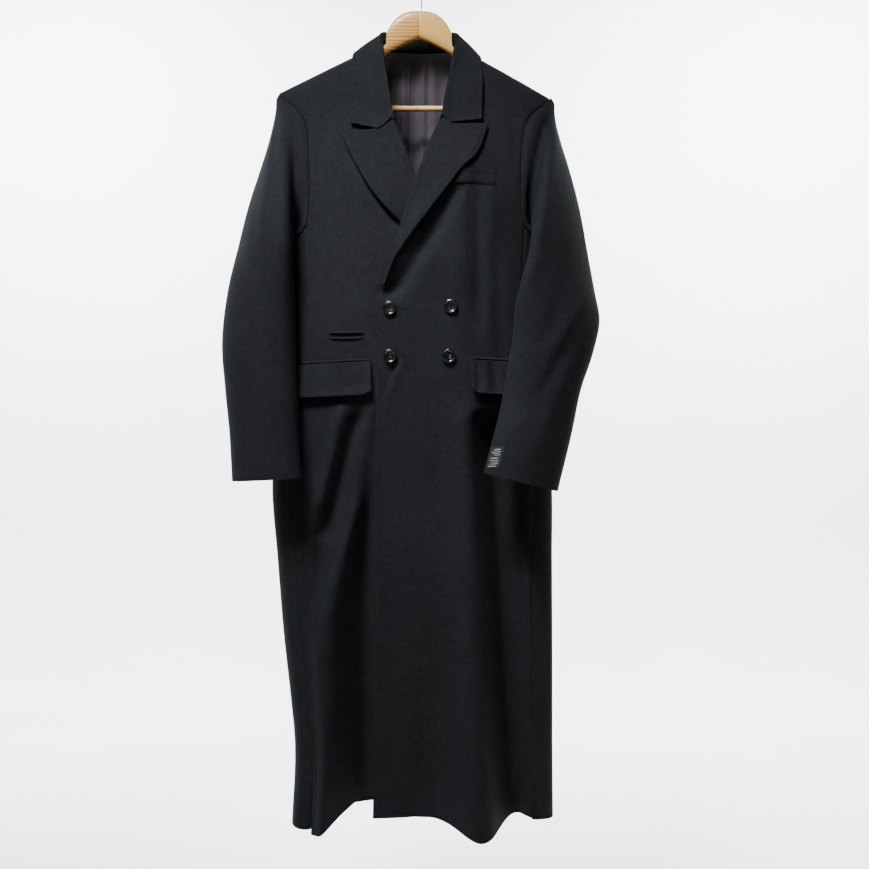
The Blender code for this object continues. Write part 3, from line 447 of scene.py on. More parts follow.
def shares(length: float, step: float, close: float = 0.0011, reach: float = 0.01) -> Array:
    """Lay out grid lines along a length, closer near both ends, where seams and turned edges have their form.

    Args:
        length: Length to share out.
        step: Distance between lines away from the ends.
        close: Distance between lines near the ends.
        reach: How far from an end the close lines go.

    Returns:
        Shares from 0 to 1.
    """
    near = np.linspace(0.0, reach, round(reach / close) + 1)[:-1]
    middle = np.linspace(reach, length - reach, max(2, round((length - 2 * reach) / step) + 1))
    return np.concatenate([near, middle, length - near[::-1]]) / length


def rows_down(top: float, roll: float, count: int, step: float) -> Array:
    """Space rows from a top edge to the hem: quadratic steps over the shoulder roll, then even ones.

    Args:
        top: Height of the top edge.
        roll: How far down the shoulder roll reaches.
        count: Rows over the roll.
        step: Distance between the rows below it.

    Returns:
        Heights, as a column.
    """
    near = roll * (np.arange(count) / count) ** 2
    rest = top - HEM_Z - roll
    below = roll + rest * shares(rest, step)
    return top - np.concatenate([near, below[1:]])[:, None]


def tube_faces(rows: int, columns: int) -> list[Array]:
    """Number the faces of a closed tube: quads between its rings, and a fan to one more point at each end.

    Args:
        rows: Number of rings.
        columns: Points in a ring.

    Returns:
        The quads and the triangles.
    """
    place = np.arange(rows * columns).reshape(rows, columns)
    after = np.roll(place, -1, axis=1)
    quads = np.stack([place[:-1], after[:-1], after[1:], place[1:]], -1).reshape(-1, 4)
    first = np.stack([after[0], place[0], np.full(columns, rows * columns)], -1)
    last = np.stack([place[-1], after[-1], np.full(columns, rows * columns + 1)], -1)
    return [quads, np.concatenate([first, last])]


def placed(name: str, data: bpy.types.ID) -> bpy.types.Object:
    """Make an object of a mesh, a lamp or a camera, and link it to the scene."""
    made = bpy.data.objects.new(name, data)
    bpy.context.collection.objects.link(made)
    return made


def mesh_object(
    name: str, vertices: Array, faces: list[Array], material: Material, cut: Array | None = None
) -> bpy.types.Object:
    """Put arrays into a smooth mesh.

    Args:
        name: Name of the piece.
        vertices: Points, one to a row.
        faces: Arrays of faces, each with one number of corners.
        material: Finish of the whole piece.
        cut: Place of each vertex on the flat cloth, in metres, for the weave.

    Returns:
        The object, linked to the scene.
    """
    corners = np.concatenate([part.ravel() for part in faces]).astype(np.int32)
    sizes = np.concatenate([np.full(len(part), part.shape[1]) for part in faces])
    mesh = bpy.data.meshes.new(name)
    mesh.vertices.add(len(vertices))
    mesh.vertices.foreach_set("co", vertices.astype(np.float32).ravel())
    mesh.loops.add(len(corners))
    mesh.loops.foreach_set("vertex_index", corners)
    mesh.polygons.add(len(sizes))
    mesh.polygons.foreach_set("loop_start", (np.cumsum(sizes) - sizes).astype(np.int32))
    mesh.update(calc_edges=True)
    mesh.validate()
    if cut is not None:
        layer = mesh.uv_layers.new(name="cut")
        layer.data.foreach_set("uv", cut[corners].astype(np.float32).ravel())
    mesh.materials.append(material)
    mesh.shade_smooth()
    return placed(name, mesh)


@dataclass
class Shell:
    """A cloth wall on a grid of points, with seams that draw in, swollen turned edges and a rounded rim."""

    name: str
    points: Array
    outwards: float
    edges: dict[Edge, Ending]
    thickness: float = CLOTH
    lift: float = 0.0
    seam_depth: float = 0.0012
    seam_width: float = 0.0022
    seam_press: float = 0.0003
    press_at: float = 0.0075
    swell: float = 0.0004
    stitch_in: float = 0.006
    stitch_depth: float = 0.0004
    stitch_width: float = 0.0012
    rim_lines: int = 3
    narrowest: float = 0.01
    outer: Array = field(init=False)
    normal: Array = field(init=False)
    away: dict[Edge, Array] = field(init=False)
    depth: Array = field(init=False)

    def __post_init__(self) -> None:
        """Work out the outer skin from the distances to the edges."""
        self.normal = facing_of(self.points, self.outwards)
        down = np.linalg.norm(np.diff(self.points, axis=0), axis=-1)
        across = np.linalg.norm(np.diff(self.points, axis=1), axis=-1)
        from_top = np.concatenate([np.zeros((1, down.shape[1])), np.cumsum(down, axis=0)])
        from_start = np.concatenate([np.zeros((across.shape[0], 1)), np.cumsum(across, axis=1)], axis=1)
        self.away = {
            Edge.TOP: from_top,
            Edge.BOTTOM: from_top[-1:] - from_top,
            Edge.START: from_start,
            Edge.END: from_start[:, -1:] - from_start,
        }
        total = np.full(self.points.shape[:2], self.lift)
        self.depth = np.full(self.points.shape[:2], self.thickness)
        for edge, ending in self.edges.items():
            off = self.away[edge]
            if ending is Ending.SEAM:
                total -= self.seam_depth * bell(off, self.seam_width)
                total += self.seam_press * bell(off - self.press_at, self.press_at / 2)
                self.depth *= 1.0 - 0.55 * bell(off, self.seam_width)
            if ending is Ending.TURNED:
                total += self.swell * (1.0 - ease(self.stitch_in, 2.2 * self.stitch_in, off))
                total -= self.stitch_depth * bell(off - self.stitch_in, self.stitch_width)
        self.outer = self.points + self.normal * total[..., None]

    def line_in(self, edge: Edge, inset: float) -> tuple[Array, Array]:
        """Find the line that runs at a distance from an edge, where the stitches go.

        Args:
            edge: The edge that the line follows.
            inset: Distance from it.

        Returns:
            Points on the outer skin and the normals there.
        """
        axis = 1 if edge in (Edge.START, Edge.END) else 0
        nearest = np.expand_dims(np.abs(self.away[edge] - inset).argmin(axis=axis), axis)[..., None]
        pick = [np.take_along_axis(grid, nearest, axis).squeeze(axis) for grid in (self.outer, self.normal)]
        return pick[0], pick[1]

    def build(self, material: Material) -> bpy.types.Object:
        """Close the two skins with a rim.

        The rim is half a circle between the skins, pushed out by half the wall at a turned edge and hardly at
        a seam, where the neighbour lies against it.

        Args:
            material: Finish of the piece.

        Returns:
            The piece.
        """
        rows, columns = self.points.shape[:2]
        inner = self.outer - self.normal * self.depth[..., None]
        count = rows * columns
        place = np.arange(count).reshape(rows, columns)
        skin = np.stack([place[:-1, :-1], place[1:, :-1], place[1:, 1:], place[:-1, 1:]], -1).reshape(-1, 4)
        ring = np.concatenate([place[:-1, 0], place[-1, :-1], place[:0:-1, -1], place[0, :0:-1]])
        tangent, bulge = np.zeros_like(self.points), np.zeros((rows, columns))
        spots = {
            Edge.TOP: (np.s_[0], np.s_[1]),
            Edge.BOTTOM: (np.s_[-1], np.s_[-2]),
            Edge.START: (np.s_[:, 0], np.s_[:, 1]),
            Edge.END: (np.s_[:, -1], np.s_[:, -2]),
        }
        for edge, (last, before) in spots.items():
            tangent[last] += unit(self.outer[last] - self.outer[before])
            free = self.edges[edge] in (Ending.TURNED, Ending.HEM)
            bulge[last] = np.maximum(bulge[last], 1.0 if free else 0.12)
        tangent = unit(tangent)
        middle = ((self.outer + inner) / 2).reshape(-1, 3)[ring]
        half = (self.depth.reshape(-1)[ring] / 2)[:, None]
        out = tangent.reshape(-1, 3)[ring] * half * bulge.reshape(-1)[ring][:, None]
        up = self.normal.reshape(-1, 3)[ring] * half
        turns = math.pi * np.arange(1, self.rim_lines + 1) / (self.rim_lines + 1)
        lines = [middle + up * math.cos(turn) + out * math.sin(turn) for turn in turns]
        numbers = [ring] + [2 * count + n * len(ring) + np.arange(len(ring)) for n in range(self.rim_lines)]
        numbers.append(ring + count)
        rim = [np.stack([np.roll(a, -1), a, b, np.roll(b, -1)], -1) for a, b in zip(numbers, numbers[1:])]
        faces = np.concatenate([skin, skin[:, ::-1] + count, *rim])
        faces = faces[:, ::-1] if self.outwards < 0 else faces
        vertices = np.concatenate([self.outer.reshape(-1, 3), inner.reshape(-1, 3), *lines])
        flat = np.stack([self.away[Edge.START], self.away[Edge.TOP]], -1).reshape(-1, 2)
        cut = np.concatenate([flat, flat] + [flat[ring]] * self.rim_lines)
        return mesh_object(self.name, vertices, [faces], material, cut)


@dataclass
class Workroom:
    """Hands each finished piece to the frame, and keeps the cloth shells by name for the stitching."""

    made: list[str] = field(default_factory=list)
    shells: dict[str, Shell] = field(default_factory=dict)

    def take(self, piece: bpy.types.Object, nodes: tuple[str, ...] = ()) -> bpy.types.Object:
        """Let a piece ride on the coat and stand for its nodes.

        Args:
            piece: The finished piece.
            nodes: The solids it stands for.

        Returns:
            The piece.
        """
        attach(piece, ROOT)
        if nodes:
            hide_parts(*nodes)
        self.made.append(piece.name)
        LOG.info("%s: %d faces", piece.name, len(piece.data.polygons))
        return piece

    def sew(
        self, shell: Shell, material: Material, nodes: tuple[str, ...]
    ) -> bpy.types.Object:
        """Build a cloth shell, take it in and keep it by name for the stitching.

        Args:
            shell: The shell.
            material: Its finish.
            nodes: The solids it stands for.

        Returns:
            The piece.
        """
        self.shells[shell.name] = shell
        piece = self.take(shell.build(material), nodes)
        return piece


@dataclass
class Fronts:
    """The two fronts: the under one on the wearer's right, and the over one, which buttons across it."""

    form: BodyForm
    neck_edges: ClassVar[dict[Side, Table]] = {
        Side.RIGHT: metres((-134, -75.5), (-165, -73.5), (-215, -65.5), (-258, -54)),
        Side.LEFT: metres((-137, 64.5), (-165, 62.5), (-215, 52.5), (-252, 42)),
    }
    free_edges: ClassVar[dict[Side, Table]] = {
        Side.RIGHT: metres((-500, 52), (-553, 64), (-620, 68), (-1445, 68)),
        Side.LEFT: metres(
            (-566, -69.7), (-600, -70.9), (-761, -71.3), (-859, -74),
            (-1087, -71.2), (-1186, -75), (-1445, -79),
        ),
    }
    roll_room: float = 0.0052
    fan_reach: float = 0.42
    roll_reach: float = 0.062
    roll_rows: int = 30
    row_step: float = 0.0054
    column_step: float = 0.0028
    columns_close_up: float = 1.15
    darts: tuple[tuple[Side, float, float, float, float], ...] = (  # side, top x, top z, low x, low z
        (Side.RIGHT, -0.112, -0.31, -0.113, -0.56),
        (Side.LEFT, 0.079, -0.38, 0.074, -0.57),
    )
    dart_depth: float = 0.0007
    dart_width: float = 0.0022

    def grid(self, side: Side, lapels: "Lapels") -> Array:
        """Lay out the cloth of a front.

        Each row runs from the neck, roll or free edge to the shoulder, the armhole or the side seam. Rows
        fall towards the shoulder tip near the top, and turn level below.

        Args:
            side: Which front.
            lapels: The lapels, whose roll line the edge follows.

        Returns:
            The grid of points, hem included.
        """
        sign = side.value
        roll = [(z, x + sign * self.roll_room) for x, z, _, _ in lapels.lines[side]]
        edge = np.array(self.neck_edges[side] + tuple(roll) + self.free_edges[side])
        top = float(self.form.ridge(edge[0, 1]))
        inner_z = rows_down(top, self.roll_reach, self.roll_rows, self.row_step)
        fall = self.form.armholes[sign][0][0] - top
        outer_z = inner_z + fall * (1.0 - ease(0.0, self.fan_reach, top - inner_z))
        inner_x = through(inner_z, edge[:, 0], edge[:, 1])
        outer_x = self.form.armhole_x(outer_z, side, 1) - sign * 0.0001
        s = shares(0.26, self.column_step)[None, :]
        s = np.sin(s * self.columns_close_up) / math.sin(self.columns_close_up)
        x = inner_x + (outer_x - inner_x) * s
        z = inner_z + (outer_z - inner_z) * s
        z = self.form.to_hem(x, z, sign)
        y = self.form.depth(x, z, Face.FRONT, sign) - lifted(self.form.hollows, x, z)
        for at, top_x, top_z, low_x, low_z in self.darts:
            if at is side:
                down = np.clip((top_z - z) / (top_z - low_z), 0.0, 1.0)
                ends = ease(0.0, 0.12, down) * ease(1.0, 0.9, down)
                y = y + self.dart_depth * bell(x - top_x - (low_x - top_x) * down, self.dart_width) * ends
        return np.stack([x, y, z], -1)

    def build(self, room: Workroom, wool: Material, lapels: "Lapels") -> None:
        """Make both fronts.

        Args:
            room: Takes the pieces in.
            wool: Finish.
            lapels: The lapels.
        """
        for side in Side:
            start = Ending.TURNED if side is Side.LEFT else Ending.HIDDEN
            edges = endings(Ending.SEAM, Ending.HEM, start, Ending.SEAM)
            shell = Shell(f"{side.word}_front_cloth", self.grid(side, lapels), side.value, edges)
            room.sew(shell, wool, (f"{side.word}_front",))


@dataclass
class Backs:
    """The two halves of the back, sewn together down the middle."""

    form: BodyForm
    fan_reach: float = 0.42
    roll_reach: float = 0.062
    roll_rows: int = 26
    row_step: float = 0.0066
    column_step: float = 0.0036
    columns_close_up: float = 1.15

    def grid(self, side: Side) -> Array:
        """Lay out half of the back, in rows from the centre seam to the shoulder, armhole or side seam.

        Args:
            side: Which half.

        Returns:
            The grid of points.
        """
        sign, form = side.value, self.form
        inner_z = rows_down(form.back_neck_z, self.roll_reach, self.roll_rows, self.row_step)
        fan = 1.0 - ease(0.0, self.fan_reach, form.back_neck_z - inner_z)
        outer_z = inner_z + (form.armholes[sign][0][0] - form.back_neck_z) * fan
        outer_x = form.armhole_x(outer_z, side, 2) - sign * 0.0001
        s = shares(0.22, self.column_step)[None, :]
        s = 0.5 * (s + np.sin(s * self.columns_close_up) / math.sin(self.columns_close_up))
        x = form.centre_x + (outer_x - form.centre_x) * s
        neck = form.shoulders[sign][0]
        out = np.abs(x - form.centre_x)
        top_z = np.where(out < neck, form.back_neck_z - form.neck_dip * out / neck, form.ridge(x))
        z = inner_z + (top_z - form.back_neck_z) * fan
        z = form.to_hem(x, z, 0)
        return np.stack([x, form.depth(x, z, Face.BACK, 0), z], -1)

    def build(self, room: Workroom, wool: Material) -> None:
        """Make both halves of the back."""
        for side in Side:
            edges = endings(Ending.SEAM, Ending.HEM, Ending.SEAM, Ending.SEAM)
            shell = Shell(f"{side.word}_back_cloth", self.grid(side), -side.value, edges)
            room.sew(shell, wool, (f"{side.word}_back",))


@dataclass
class SidePanels:
    """The panels under the arms, between the side seams."""

    form: BodyForm
    reach: float = 1.045
    tuck: float = 0.0009
    row_step: float = 0.006
    column_step: float = 0.0036
    wave: float = 0.0016

    def grid(self, side: Side) -> Array:
        """Lay out a side panel: a strip of the squared oval, with three slow upright waves in the skirt.

        It reaches a little past both side seams, where its edges are tucked under the front and the back.

        Args:
            side: Which side.

        Returns:
            The grid of points.
        """
        form = self.form
        turn = (2.0 * shares(0.11, self.column_step) - 1.0)[None, :] * self.reach
        top = form.underarm_z + form.underarm_rise * turn**2
        t = shares(0.95, self.row_step)[:, None]
        at_hem = form.side_point(turn, np.full_like(turn, HEM_Z), side)[..., 0]
        hem = form.hem(at_hem, np.full_like(turn, HEM_Z), 0.0)
        z = top + (hem - top) * t
        points = form.side_point(turn + 0 * z, z, side)
        waves = np.sin(5.2 * turn + side.value + 1.5 * z) * (1.0 - turn**2) * ease(-0.75, -1.2, z)
        points[..., 0] -= side.value * self.wave * (1.0 + waves) * (1.0 - turn**2) * ease(-0.6, -0.9, z)
        points[..., 1] -= np.sign(turn) * self.tuck * ease(0.95, self.reach, np.abs(turn))
        return points

    def build(self, room: Workroom, wool: Material) -> None:
        """Make both side panels."""
        for side in Side:
            edges = endings(Ending.SEAM, Ending.HEM, Ending.SEAM, Ending.SEAM)
            shell = Shell(f"{side.word}_side_cloth", self.grid(side), side.value, edges)
            room.sew(shell, wool, (f"{side.word}_side",))


@dataclass
class Lapels:
    """The lapels: they turn round the roll line, lie over the fronts and end at their own edge."""

    form: BodyForm
    lines: ClassVar[dict[Side, Table]] = {  # roll x, roll z, edge x, edge z, from the gorge to the break
        Side.RIGHT: metres(
            (-44, -274, -129, -295.5), (-34, -300, -112, -332), (-21, -333, -89.5, -373),
            (-10, -361, -67, -405.5), (6.5, -398, -31, -443), (20, -428, 5, -472), (35, -467, 29, -495),
        ),
        Side.LEFT: metres(
            (31.6, -268, 108, -281), (14.6, -308.6, 92, -327), (-4, -360, 64.5, -356.1),
            (-12.5, -385, 41.9, -386.2), (-26.5, -425, 5.8, -433.9), (-39, -467, -21.2, -470.2),
            (-49.5, -503, -40.5, -499), (-57, -527, -51.5, -524), (-63, -545, -59, -542.5),
        ),
    }
    roll_radius: float = 0.0033
    roll_share: float = 0.35
    edge_lift: ClassVar[dict[Side, tuple[float, float]]] = {  # at the gorge and at the break
        Side.RIGHT: (0.005, 0.008),
        Side.LEFT: (0.006, 0.0145),
    }
    lifts_from: float = 0.03
    buried_from: tuple[float, float] = (0.58, 0.74)
    notch_drop: float = 0.011
    notch_at: float = 0.24
    notch_fades_by: float = 0.16

    def grid(self, side: Side) -> Array:
        """Lay out a lapel.

        Each row turns half a circle round the roll line and then lies over the front, proud at its edge. The
        right one sinks with the front where the over front covers it.

        Args:
            side: Which lapel.

        Returns:
            The grid of points.
        """
        table = np.array(self.lines[side])
        rows = shares(0.28, 0.0024)
        knots = np.linspace(0.0, 1.0, len(table))
        roll_x, roll_z, edge_x, edge_z = np.moveaxis(through(rows, knots, table), -1, 0)[..., None]
        width = np.hypot(edge_x - roll_x, edge_z - roll_z)
        radius = np.minimum(self.roll_radius, width * self.roll_share)
        turn = np.linspace(-math.pi / 2, math.pi / 2, 13)[None, :]
        out = radius * (1.0 - np.cos(turn))
        lift = radius * (1.0 + np.sin(turn)) - CLOTH
        flat = shares(0.085, 0.0022)[None, 1:]
        out = np.concatenate([out, radius + (width - radius) * flat], axis=1)
        high = 2 * radius - CLOTH
        at_gorge, at_break = self.edge_lift[side]
        buried = ease(*self.buried_from, rows)[:, None] * (side is Side.RIGHT)
        rise = at_gorge + (at_break - at_gorge) * ease(0.15, 0.75, rows)[:, None]
        rise = rise * np.minimum(1.0, width / self.lifts_from) * (1.0 - 0.7 * buried)
        lift = np.concatenate([lift, high + (np.maximum(rise, high) - high) * ease(0.0, 1.0, flat)], axis=1)
        x = roll_x + (edge_x - roll_x) / width * out
        z = roll_z + (edge_z - roll_z) / width * out
        share = out / width
        corner = np.where(share < self.notch_at, share / self.notch_at, (1.0 - share) / (1.0 - self.notch_at))
        z = z - self.notch_drop * corner * (1.0 - ease(0.0, self.notch_fades_by, rows)[:, None])
        sunk = lifted(self.form.hollows, x, z) * buried
        y = self.form.depth(x, z, Face.FRONT, side.value) - sunk - lift - 0.0003 * softness(x, z, 9.0)
        return np.stack([x, y, z], -1)

    def build(self, room: Workroom, wool: Material) -> None:
        """Make both lapels."""
        for side in Side:
            edges = endings(Ending.TURNED, Ending.TURNED, Ending.HIDDEN, Ending.TURNED)
            shell = Shell(f"{side.word}_lapel_cloth", self.grid(side), side.value, edges, seam_depth=0.0006)
            room.sew(shell, wool, (f"{side.word}_lapel",))


@dataclass
class Collar:
    """The collar: the stand rises from the neck seam, turns over the fold and falls outside it."""

    form: BodyForm
    fold_radius: float = 0.0034
    stations: Table = metres(  # foot, fold and edge, x, y, z each, from right to left
        (-49, -69, -266, -44, -76, -266, -114, -69, -274),
        (-62.2, -53, -215, -54, -64, -208, -111, -55, -211),
        (-69.2, -30, -165, -62, -38, -150, -112, -32, -175),
        (-70.2, -1, -133, -64, 0, -111, -112, 2, -144), (-48, 30, -129.5, -46, 30, -101, -74, 52, -145),
        (-9, 34.5, -128, -9, 38, -98, -9, 58, -148), (32, 30, -130, 29, 30, -102, 56, 52, -146),
        (59.2, -1, -136, 56, 0, -112, 96, 2, -149), (58.2, -30, -165, 52, -38, -153, 98.5, -32, -176),
        (49.4, -53, -215, 43, -64, -209, 99.5, -55, -211), (37, -69, -259, 32, -76, -260, 98, -69, -263),
    )
    clearance: float = 0.0015
    bow: float = 0.0016
    gorges: Table = ((0.0, 0.005, 0.014, 0.27), (1.0, 0.009, 0.006, 0.16))
    gorge_reach: float = 0.07
    edge_rise: float = 0.0025

    def grid(self) -> Array:
        """Lay out the collar.

        Rows go round the neck. Each is a smooth curve through nine places: up the stand, over the fold and
        down the fall, which bows out a little between the fold and the edge.

        Returns:
            The grid of points.
        """
        table = np.array(self.stations)
        places = shares(0.62, 0.0032)
        values = through(places, np.linspace(0.0, 1.0, len(table)), table)
        foot, fold, edge = values[:, 0:3], values[:, 3:6], values[:, 6:9]
        away = edge - fold
        away[:, 2] = 0.0
        away = unit(away)
        up = np.array([0.0, 0.0, 1.0])
        radius = self.fold_radius
        line = [foot, foot + (fold - foot) * 0.5, fold - up * radius * 0.6]
        line.append(fold + away * radius * 0.5 + up * radius * 0.25)
        line.append(fold + away * radius * 1.5 + up * radius * 0.25)
        line.append(fold + away * radius * 2.4 - up * radius * 0.8)
        start = line[5]
        line += [start + (edge - start) * share for share in (0.33, 0.66, 1.0)]
        coarse = np.stack(line, 0)
        steps = np.linalg.norm(np.diff(coarse, axis=0), axis=-1).mean(axis=1)
        knots = np.concatenate([[0.0], np.cumsum(steps)])
        knots = knots / knots[-1]
        t = shares(0.105, 0.002)
        points = np.moveaxis(through(t, knots, coarse), 0, 1)
        fall = np.clip((t - knots[5]) / (1.0 - knots[5]), 0.0, 1.0)[None, :]
        points = points + away[:, None, :] * (self.bow * np.sin(math.pi * fall))[..., None]
        outside = t[None, :] >= knots[5]
        for end, lower, drop, share in self.gorges:
            corner = np.where(fall < share, fall / share, (1.0 - fall) / (1.0 - share))
            near = ease(self.gorge_reach, 0.0, np.abs(places - end))[:, None]
            points[..., 2] -= (lower + drop * corner) * near
        fronts = [self.form.depth(points[..., 0], points[..., 2], Face.FRONT, key) for key in (-1, 1)]
        clear = np.minimum(*fronts) - CLOTH - self.clearance - self.edge_rise * fall**2
        y = points[..., 1]
        points[..., 1] = np.where(outside & (y < 0.0), np.minimum(y, clear), y)
        return points

    def build(self, room: Workroom, wool: Material) -> None:
        """Make the collar."""
        edges = endings(Ending.TURNED, Ending.TURNED, Ending.SEAM, Ending.TURNED)
        shell = Shell("collar_cloth", self.grid(), 1, edges)
        room.sew(shell, wool, ("collar",))


@dataclass
class Sleeves:
    """The sleeves: a top and an under sleeve each, sewn along two seams and set into the armhole."""

    form: BodyForm
    sections: ClassVar[dict[Side, Table]] = {  # outer and inner x, y, z, two bulges, shift
        Side.RIGHT: metres(
            (-247, 0, -250, -221, 8, -482, 60, 44, 30), (-256, 0, -290, -217, -12, -496, 72, 46, 22),
            (-270, -4, -340, -209, -36, -520, 74, 46, 14), (-288, -8, -400, -206, -54, -550, 68, 42, 6),
            (-305, -12, -470, -204, -61, -590, 60, 40, 0), (-322, -16, -545, -202, -64, -640, 54, 40, 0),
            (-331, -22, -630, -201, -67, -690, 48, 40, 0), (-324, -30, -711, -199, -70, -745, 45, 38, 0),
            (-317, -34, -777, -197, -72, -795, 43, 36, 0), (-312, -36, -861, -192, -78, -854, 40, 34, 0),
        ),
        Side.LEFT: metres(
            (226, 0, -258, 201, 8, -482, 60, 44, -30), (235, 0, -295, 190, -28, -496, 70, 46, -22),
            (248, -4, -340, 175, -56, -515, 68, 46, -14), (263, -8, -400, 160, -74, -545, 62, 42, -8),
            (278, -14, -485, 152, -81, -585, 56, 40, -4), (289, -20, -550, 148, -80, -630, 54, 38, 0),
            (295.5, -26, -596, 141, -83, -668, 50, 36, 0), (284, -36, -648, 135, -85, -705, 47, 34, 0),
            (262, -48, -712, 126, -86, -752, 46, 32, 0), (246, -58, -782, 113, -92, -800, 44, 32, 0),
            (222.5, -66, -876, 100.5, -98, -846, 40, 30, 0),
        ),
    }
    creases: ClassVar[dict[tuple[Side, Face], tuple[Fold, ...]]] = {
        (Side.RIGHT, Face.FRONT): folds(
            (-247, -265, -252, -430, 6.5, 10, 3, 2.2, 50, 0.3),
            (-252, -430, -252, -640, 10, 15, 2.2, 1.2, 80),
            (-206.5, -262, -203, -455, 6, 6.5, -6.5, -5, 30), (-224, -290, -215, -480, 9, 10, 3.8, 3, 50),
            (-196, -285, -198, -335, 5, 5, 2.6, 1.8, 12), (-200, -368, -194, -404, 5, 5, 3, 2.2, 12),
            (-298, -480, -262, -660, 14, 18, -2.6, -1.8, 70),
            (-282, -640, -232, -740, 13, 14, 2.6, 1.8, 50),
            (-275, -740, -262, -860, 16, 18, -2, -1.2, 60),
        ),
        (Side.RIGHT, Face.BACK): folds(
            (-262, -300, -280, -520, 12, 16, 2.2, 1.6, 60),
            (-300, -600, -246, -680, 12, 14, -3, -2.2, 40),
            (-306, -640, -240, -740, 14, 14, 2.4, 1.6, 40),
        ),
        (Side.LEFT, Face.FRONT): folds(
            (204, -262, 160, -500, 7.5, 8.5, -7.5, -5.5, 30),
            (222, -280, 174, -530, 11, 12, 4.6, 3.6, 50), (262, -470, 196, -640, 15, 16, -2.6, -2, 60),
            (270, -560, 200, -660, 12, 14, 2.8, 2, 40), (240, -640, 190, -720, 12, 13, -3.2, -2.4, 40),
            (232, -690, 176, -820, 14, 16, 2, 1.4, 50),
        ),
        (Side.LEFT, Face.BACK): folds(
            (240, -320, 232, -540, 12, 16, 2.2, 1.6, 60), (266, -580, 200, -660, 12, 14, -3, -2.2, 40),
            (262, -630, 190, -730, 14, 14, 2.4, 1.6, 40),
        ),
    }
    around: int = 132
    seam_turns: tuple[float, float] = (-3.0 / 22.0, 12.0 / 22.0)
    seam_gap: float = 0.0015
    armhole_points: int = 96
    stands_off: float = 0.0035
    armhole_room: float = 0.0036
    room: float = 0.011
    opens_by: float = 0.16
    clears_from: tuple[float, float] = (-0.436, -0.462)
    head_tuck: float = 0.0026
    head_tuck_width: float = 0.005
    head_swell: float = 0.0016
    grids: dict[Side, Array] = field(default_factory=dict)

    def armhole_loop(self, side: Side) -> Array:
        """Follow the armhole down the front, under the arm and up the back, just off the body.

        Args:
            side: Which armhole.

        Returns:
            Points of the loop.
        """
        form, sign = self.form, side.value
        table = form.armholes[sign]
        z = np.linspace(table[0][0], table[-1][0], self.armhole_points)
        lines = []
        for face, key in ((Face.FRONT, sign), (Face.BACK, 0)):
            x = form.armhole_x(z, side, 1 if face is Face.FRONT else 2)
            line = np.stack([x, form.depth(x, z, face, key), z], -1)
            line = line + form.outward(x, z, face, key) * self.stands_off
            line[0] = np.array([x[0], 0.0, z[0]]) + np.array([sign, 0.0, 1.0]) * self.stands_off
            lines.append(line)
        under_steps = self.around // 11
        turn = np.linspace(-1.0, 1.0, 2 * under_steps + 1)
        under = form.side_point(turn, form.underarm_z + form.underarm_rise * turn**2, side)
        under = under + np.array([sign * self.armhole_room, 0.0, 0.0009])
        steps = self.around // 2 - under_steps
        down, up = self.resample(lines[0], steps + 1), self.resample(lines[1][::-1], steps + 1)
        return np.concatenate([down, under[1:-1], up])

    @staticmethod
    def resample(points: Array, count: int) -> Array:
        """Space points evenly along a line of points."""
        lengths = lengths_along(points)
        places = np.linspace(0.0, lengths[-1], count)
        return np.stack([np.interp(places, lengths, points[:, n]) for n in range(3)], -1)

    def loops(self, side: Side) -> Array:
        """Stack the sections of a sleeve.

        A section is its middle, plus half its width times the cosine, plus its front or back bulge times the
        sine, of the angle round the arm. The armhole is the first one.

        Args:
            side: Which sleeve.

        Returns:
            Sections, from the armhole to the cuff.
        """
        if side not in self.grids:
            table = np.array(self.sections[side])
            outer, inner = table[:, 0:3], table[:, 3:6]
            turns = np.linspace(0.0, 2 * math.pi, self.around + 1)
            sine = np.sin(turns)[None, :]
            bulge = np.where(sine > 0, -table[:, 6:7], table[:, 7:8]) * np.abs(sine)
            shift = table[:, 8:9] * np.abs(sine)
            loops = (outer + inner)[:, None] / 2 + (outer - inner)[:, None] / 2 * np.cos(turns)[None, :, None]
            loops = loops + np.stack([shift, bulge, 0 * bulge], -1)
            self.grids[side] = np.concatenate([self.armhole_loop(side)[None], loops])
        return self.grids[side]

    def surface(self, side: Side, angles: Array, stations: Array) -> Array:
        """Read the outer face of a sleeve.

        Args:
            side: Which sleeve.
            angles: Angles round the arm: 0 is the outside, a quarter turn is the front.
            stations: Shares of the way from the armhole to the cuff.

        Returns:
            A grid of points, a row for each station.
        """
        loops = self.loops(side)
        knots = lengths_along(loops.mean(axis=1))
        grid = through(stations, knots / knots[-1], loops)
        at = np.mod(angles, 2 * math.pi) / (2 * math.pi) * self.around
        low = np.minimum(at.astype(int), self.around - 1)
        share = (at - low)[None, :, None]
        points = grid[:, low] * (1.0 - share) + grid[:, low + 1] * share
        return self.creased(self.clear_of_body(points, stations), side, angles, stations)

    def creased(self, points: Array, side: Side, angles: Array, stations: Array) -> Array:
        """Lift the points along the sleeve's creases.

        Args:
            points: The plain surface.
            side: Which sleeve.
            angles: Angles round the arm.
            stations: Shares of the way to the cuff.

        Returns:
            The points lifted along the creases of their own face; a strip of one or two angles stays
            plain.
        """
        normal = facing_of(points, -side.value) if len(angles) > 2 else np.zeros_like(points)
        sine = np.sin(angles)[None, :]
        x, z = points[..., 0], points[..., 2]
        lift = 0.0005 * softness(x, z, 5.0 + side.value)
        lift = lift + lifted(self.creases[side, Face.FRONT], x, z) * ease(0.05, 0.45, sine)
        lift = lift + lifted(self.creases[side, Face.BACK], x, z) * ease(-0.05, -0.45, sine)
        fades = ease(0.0, 0.06, stations)[:, None]
        return points + normal * (lift * fades)[..., None]

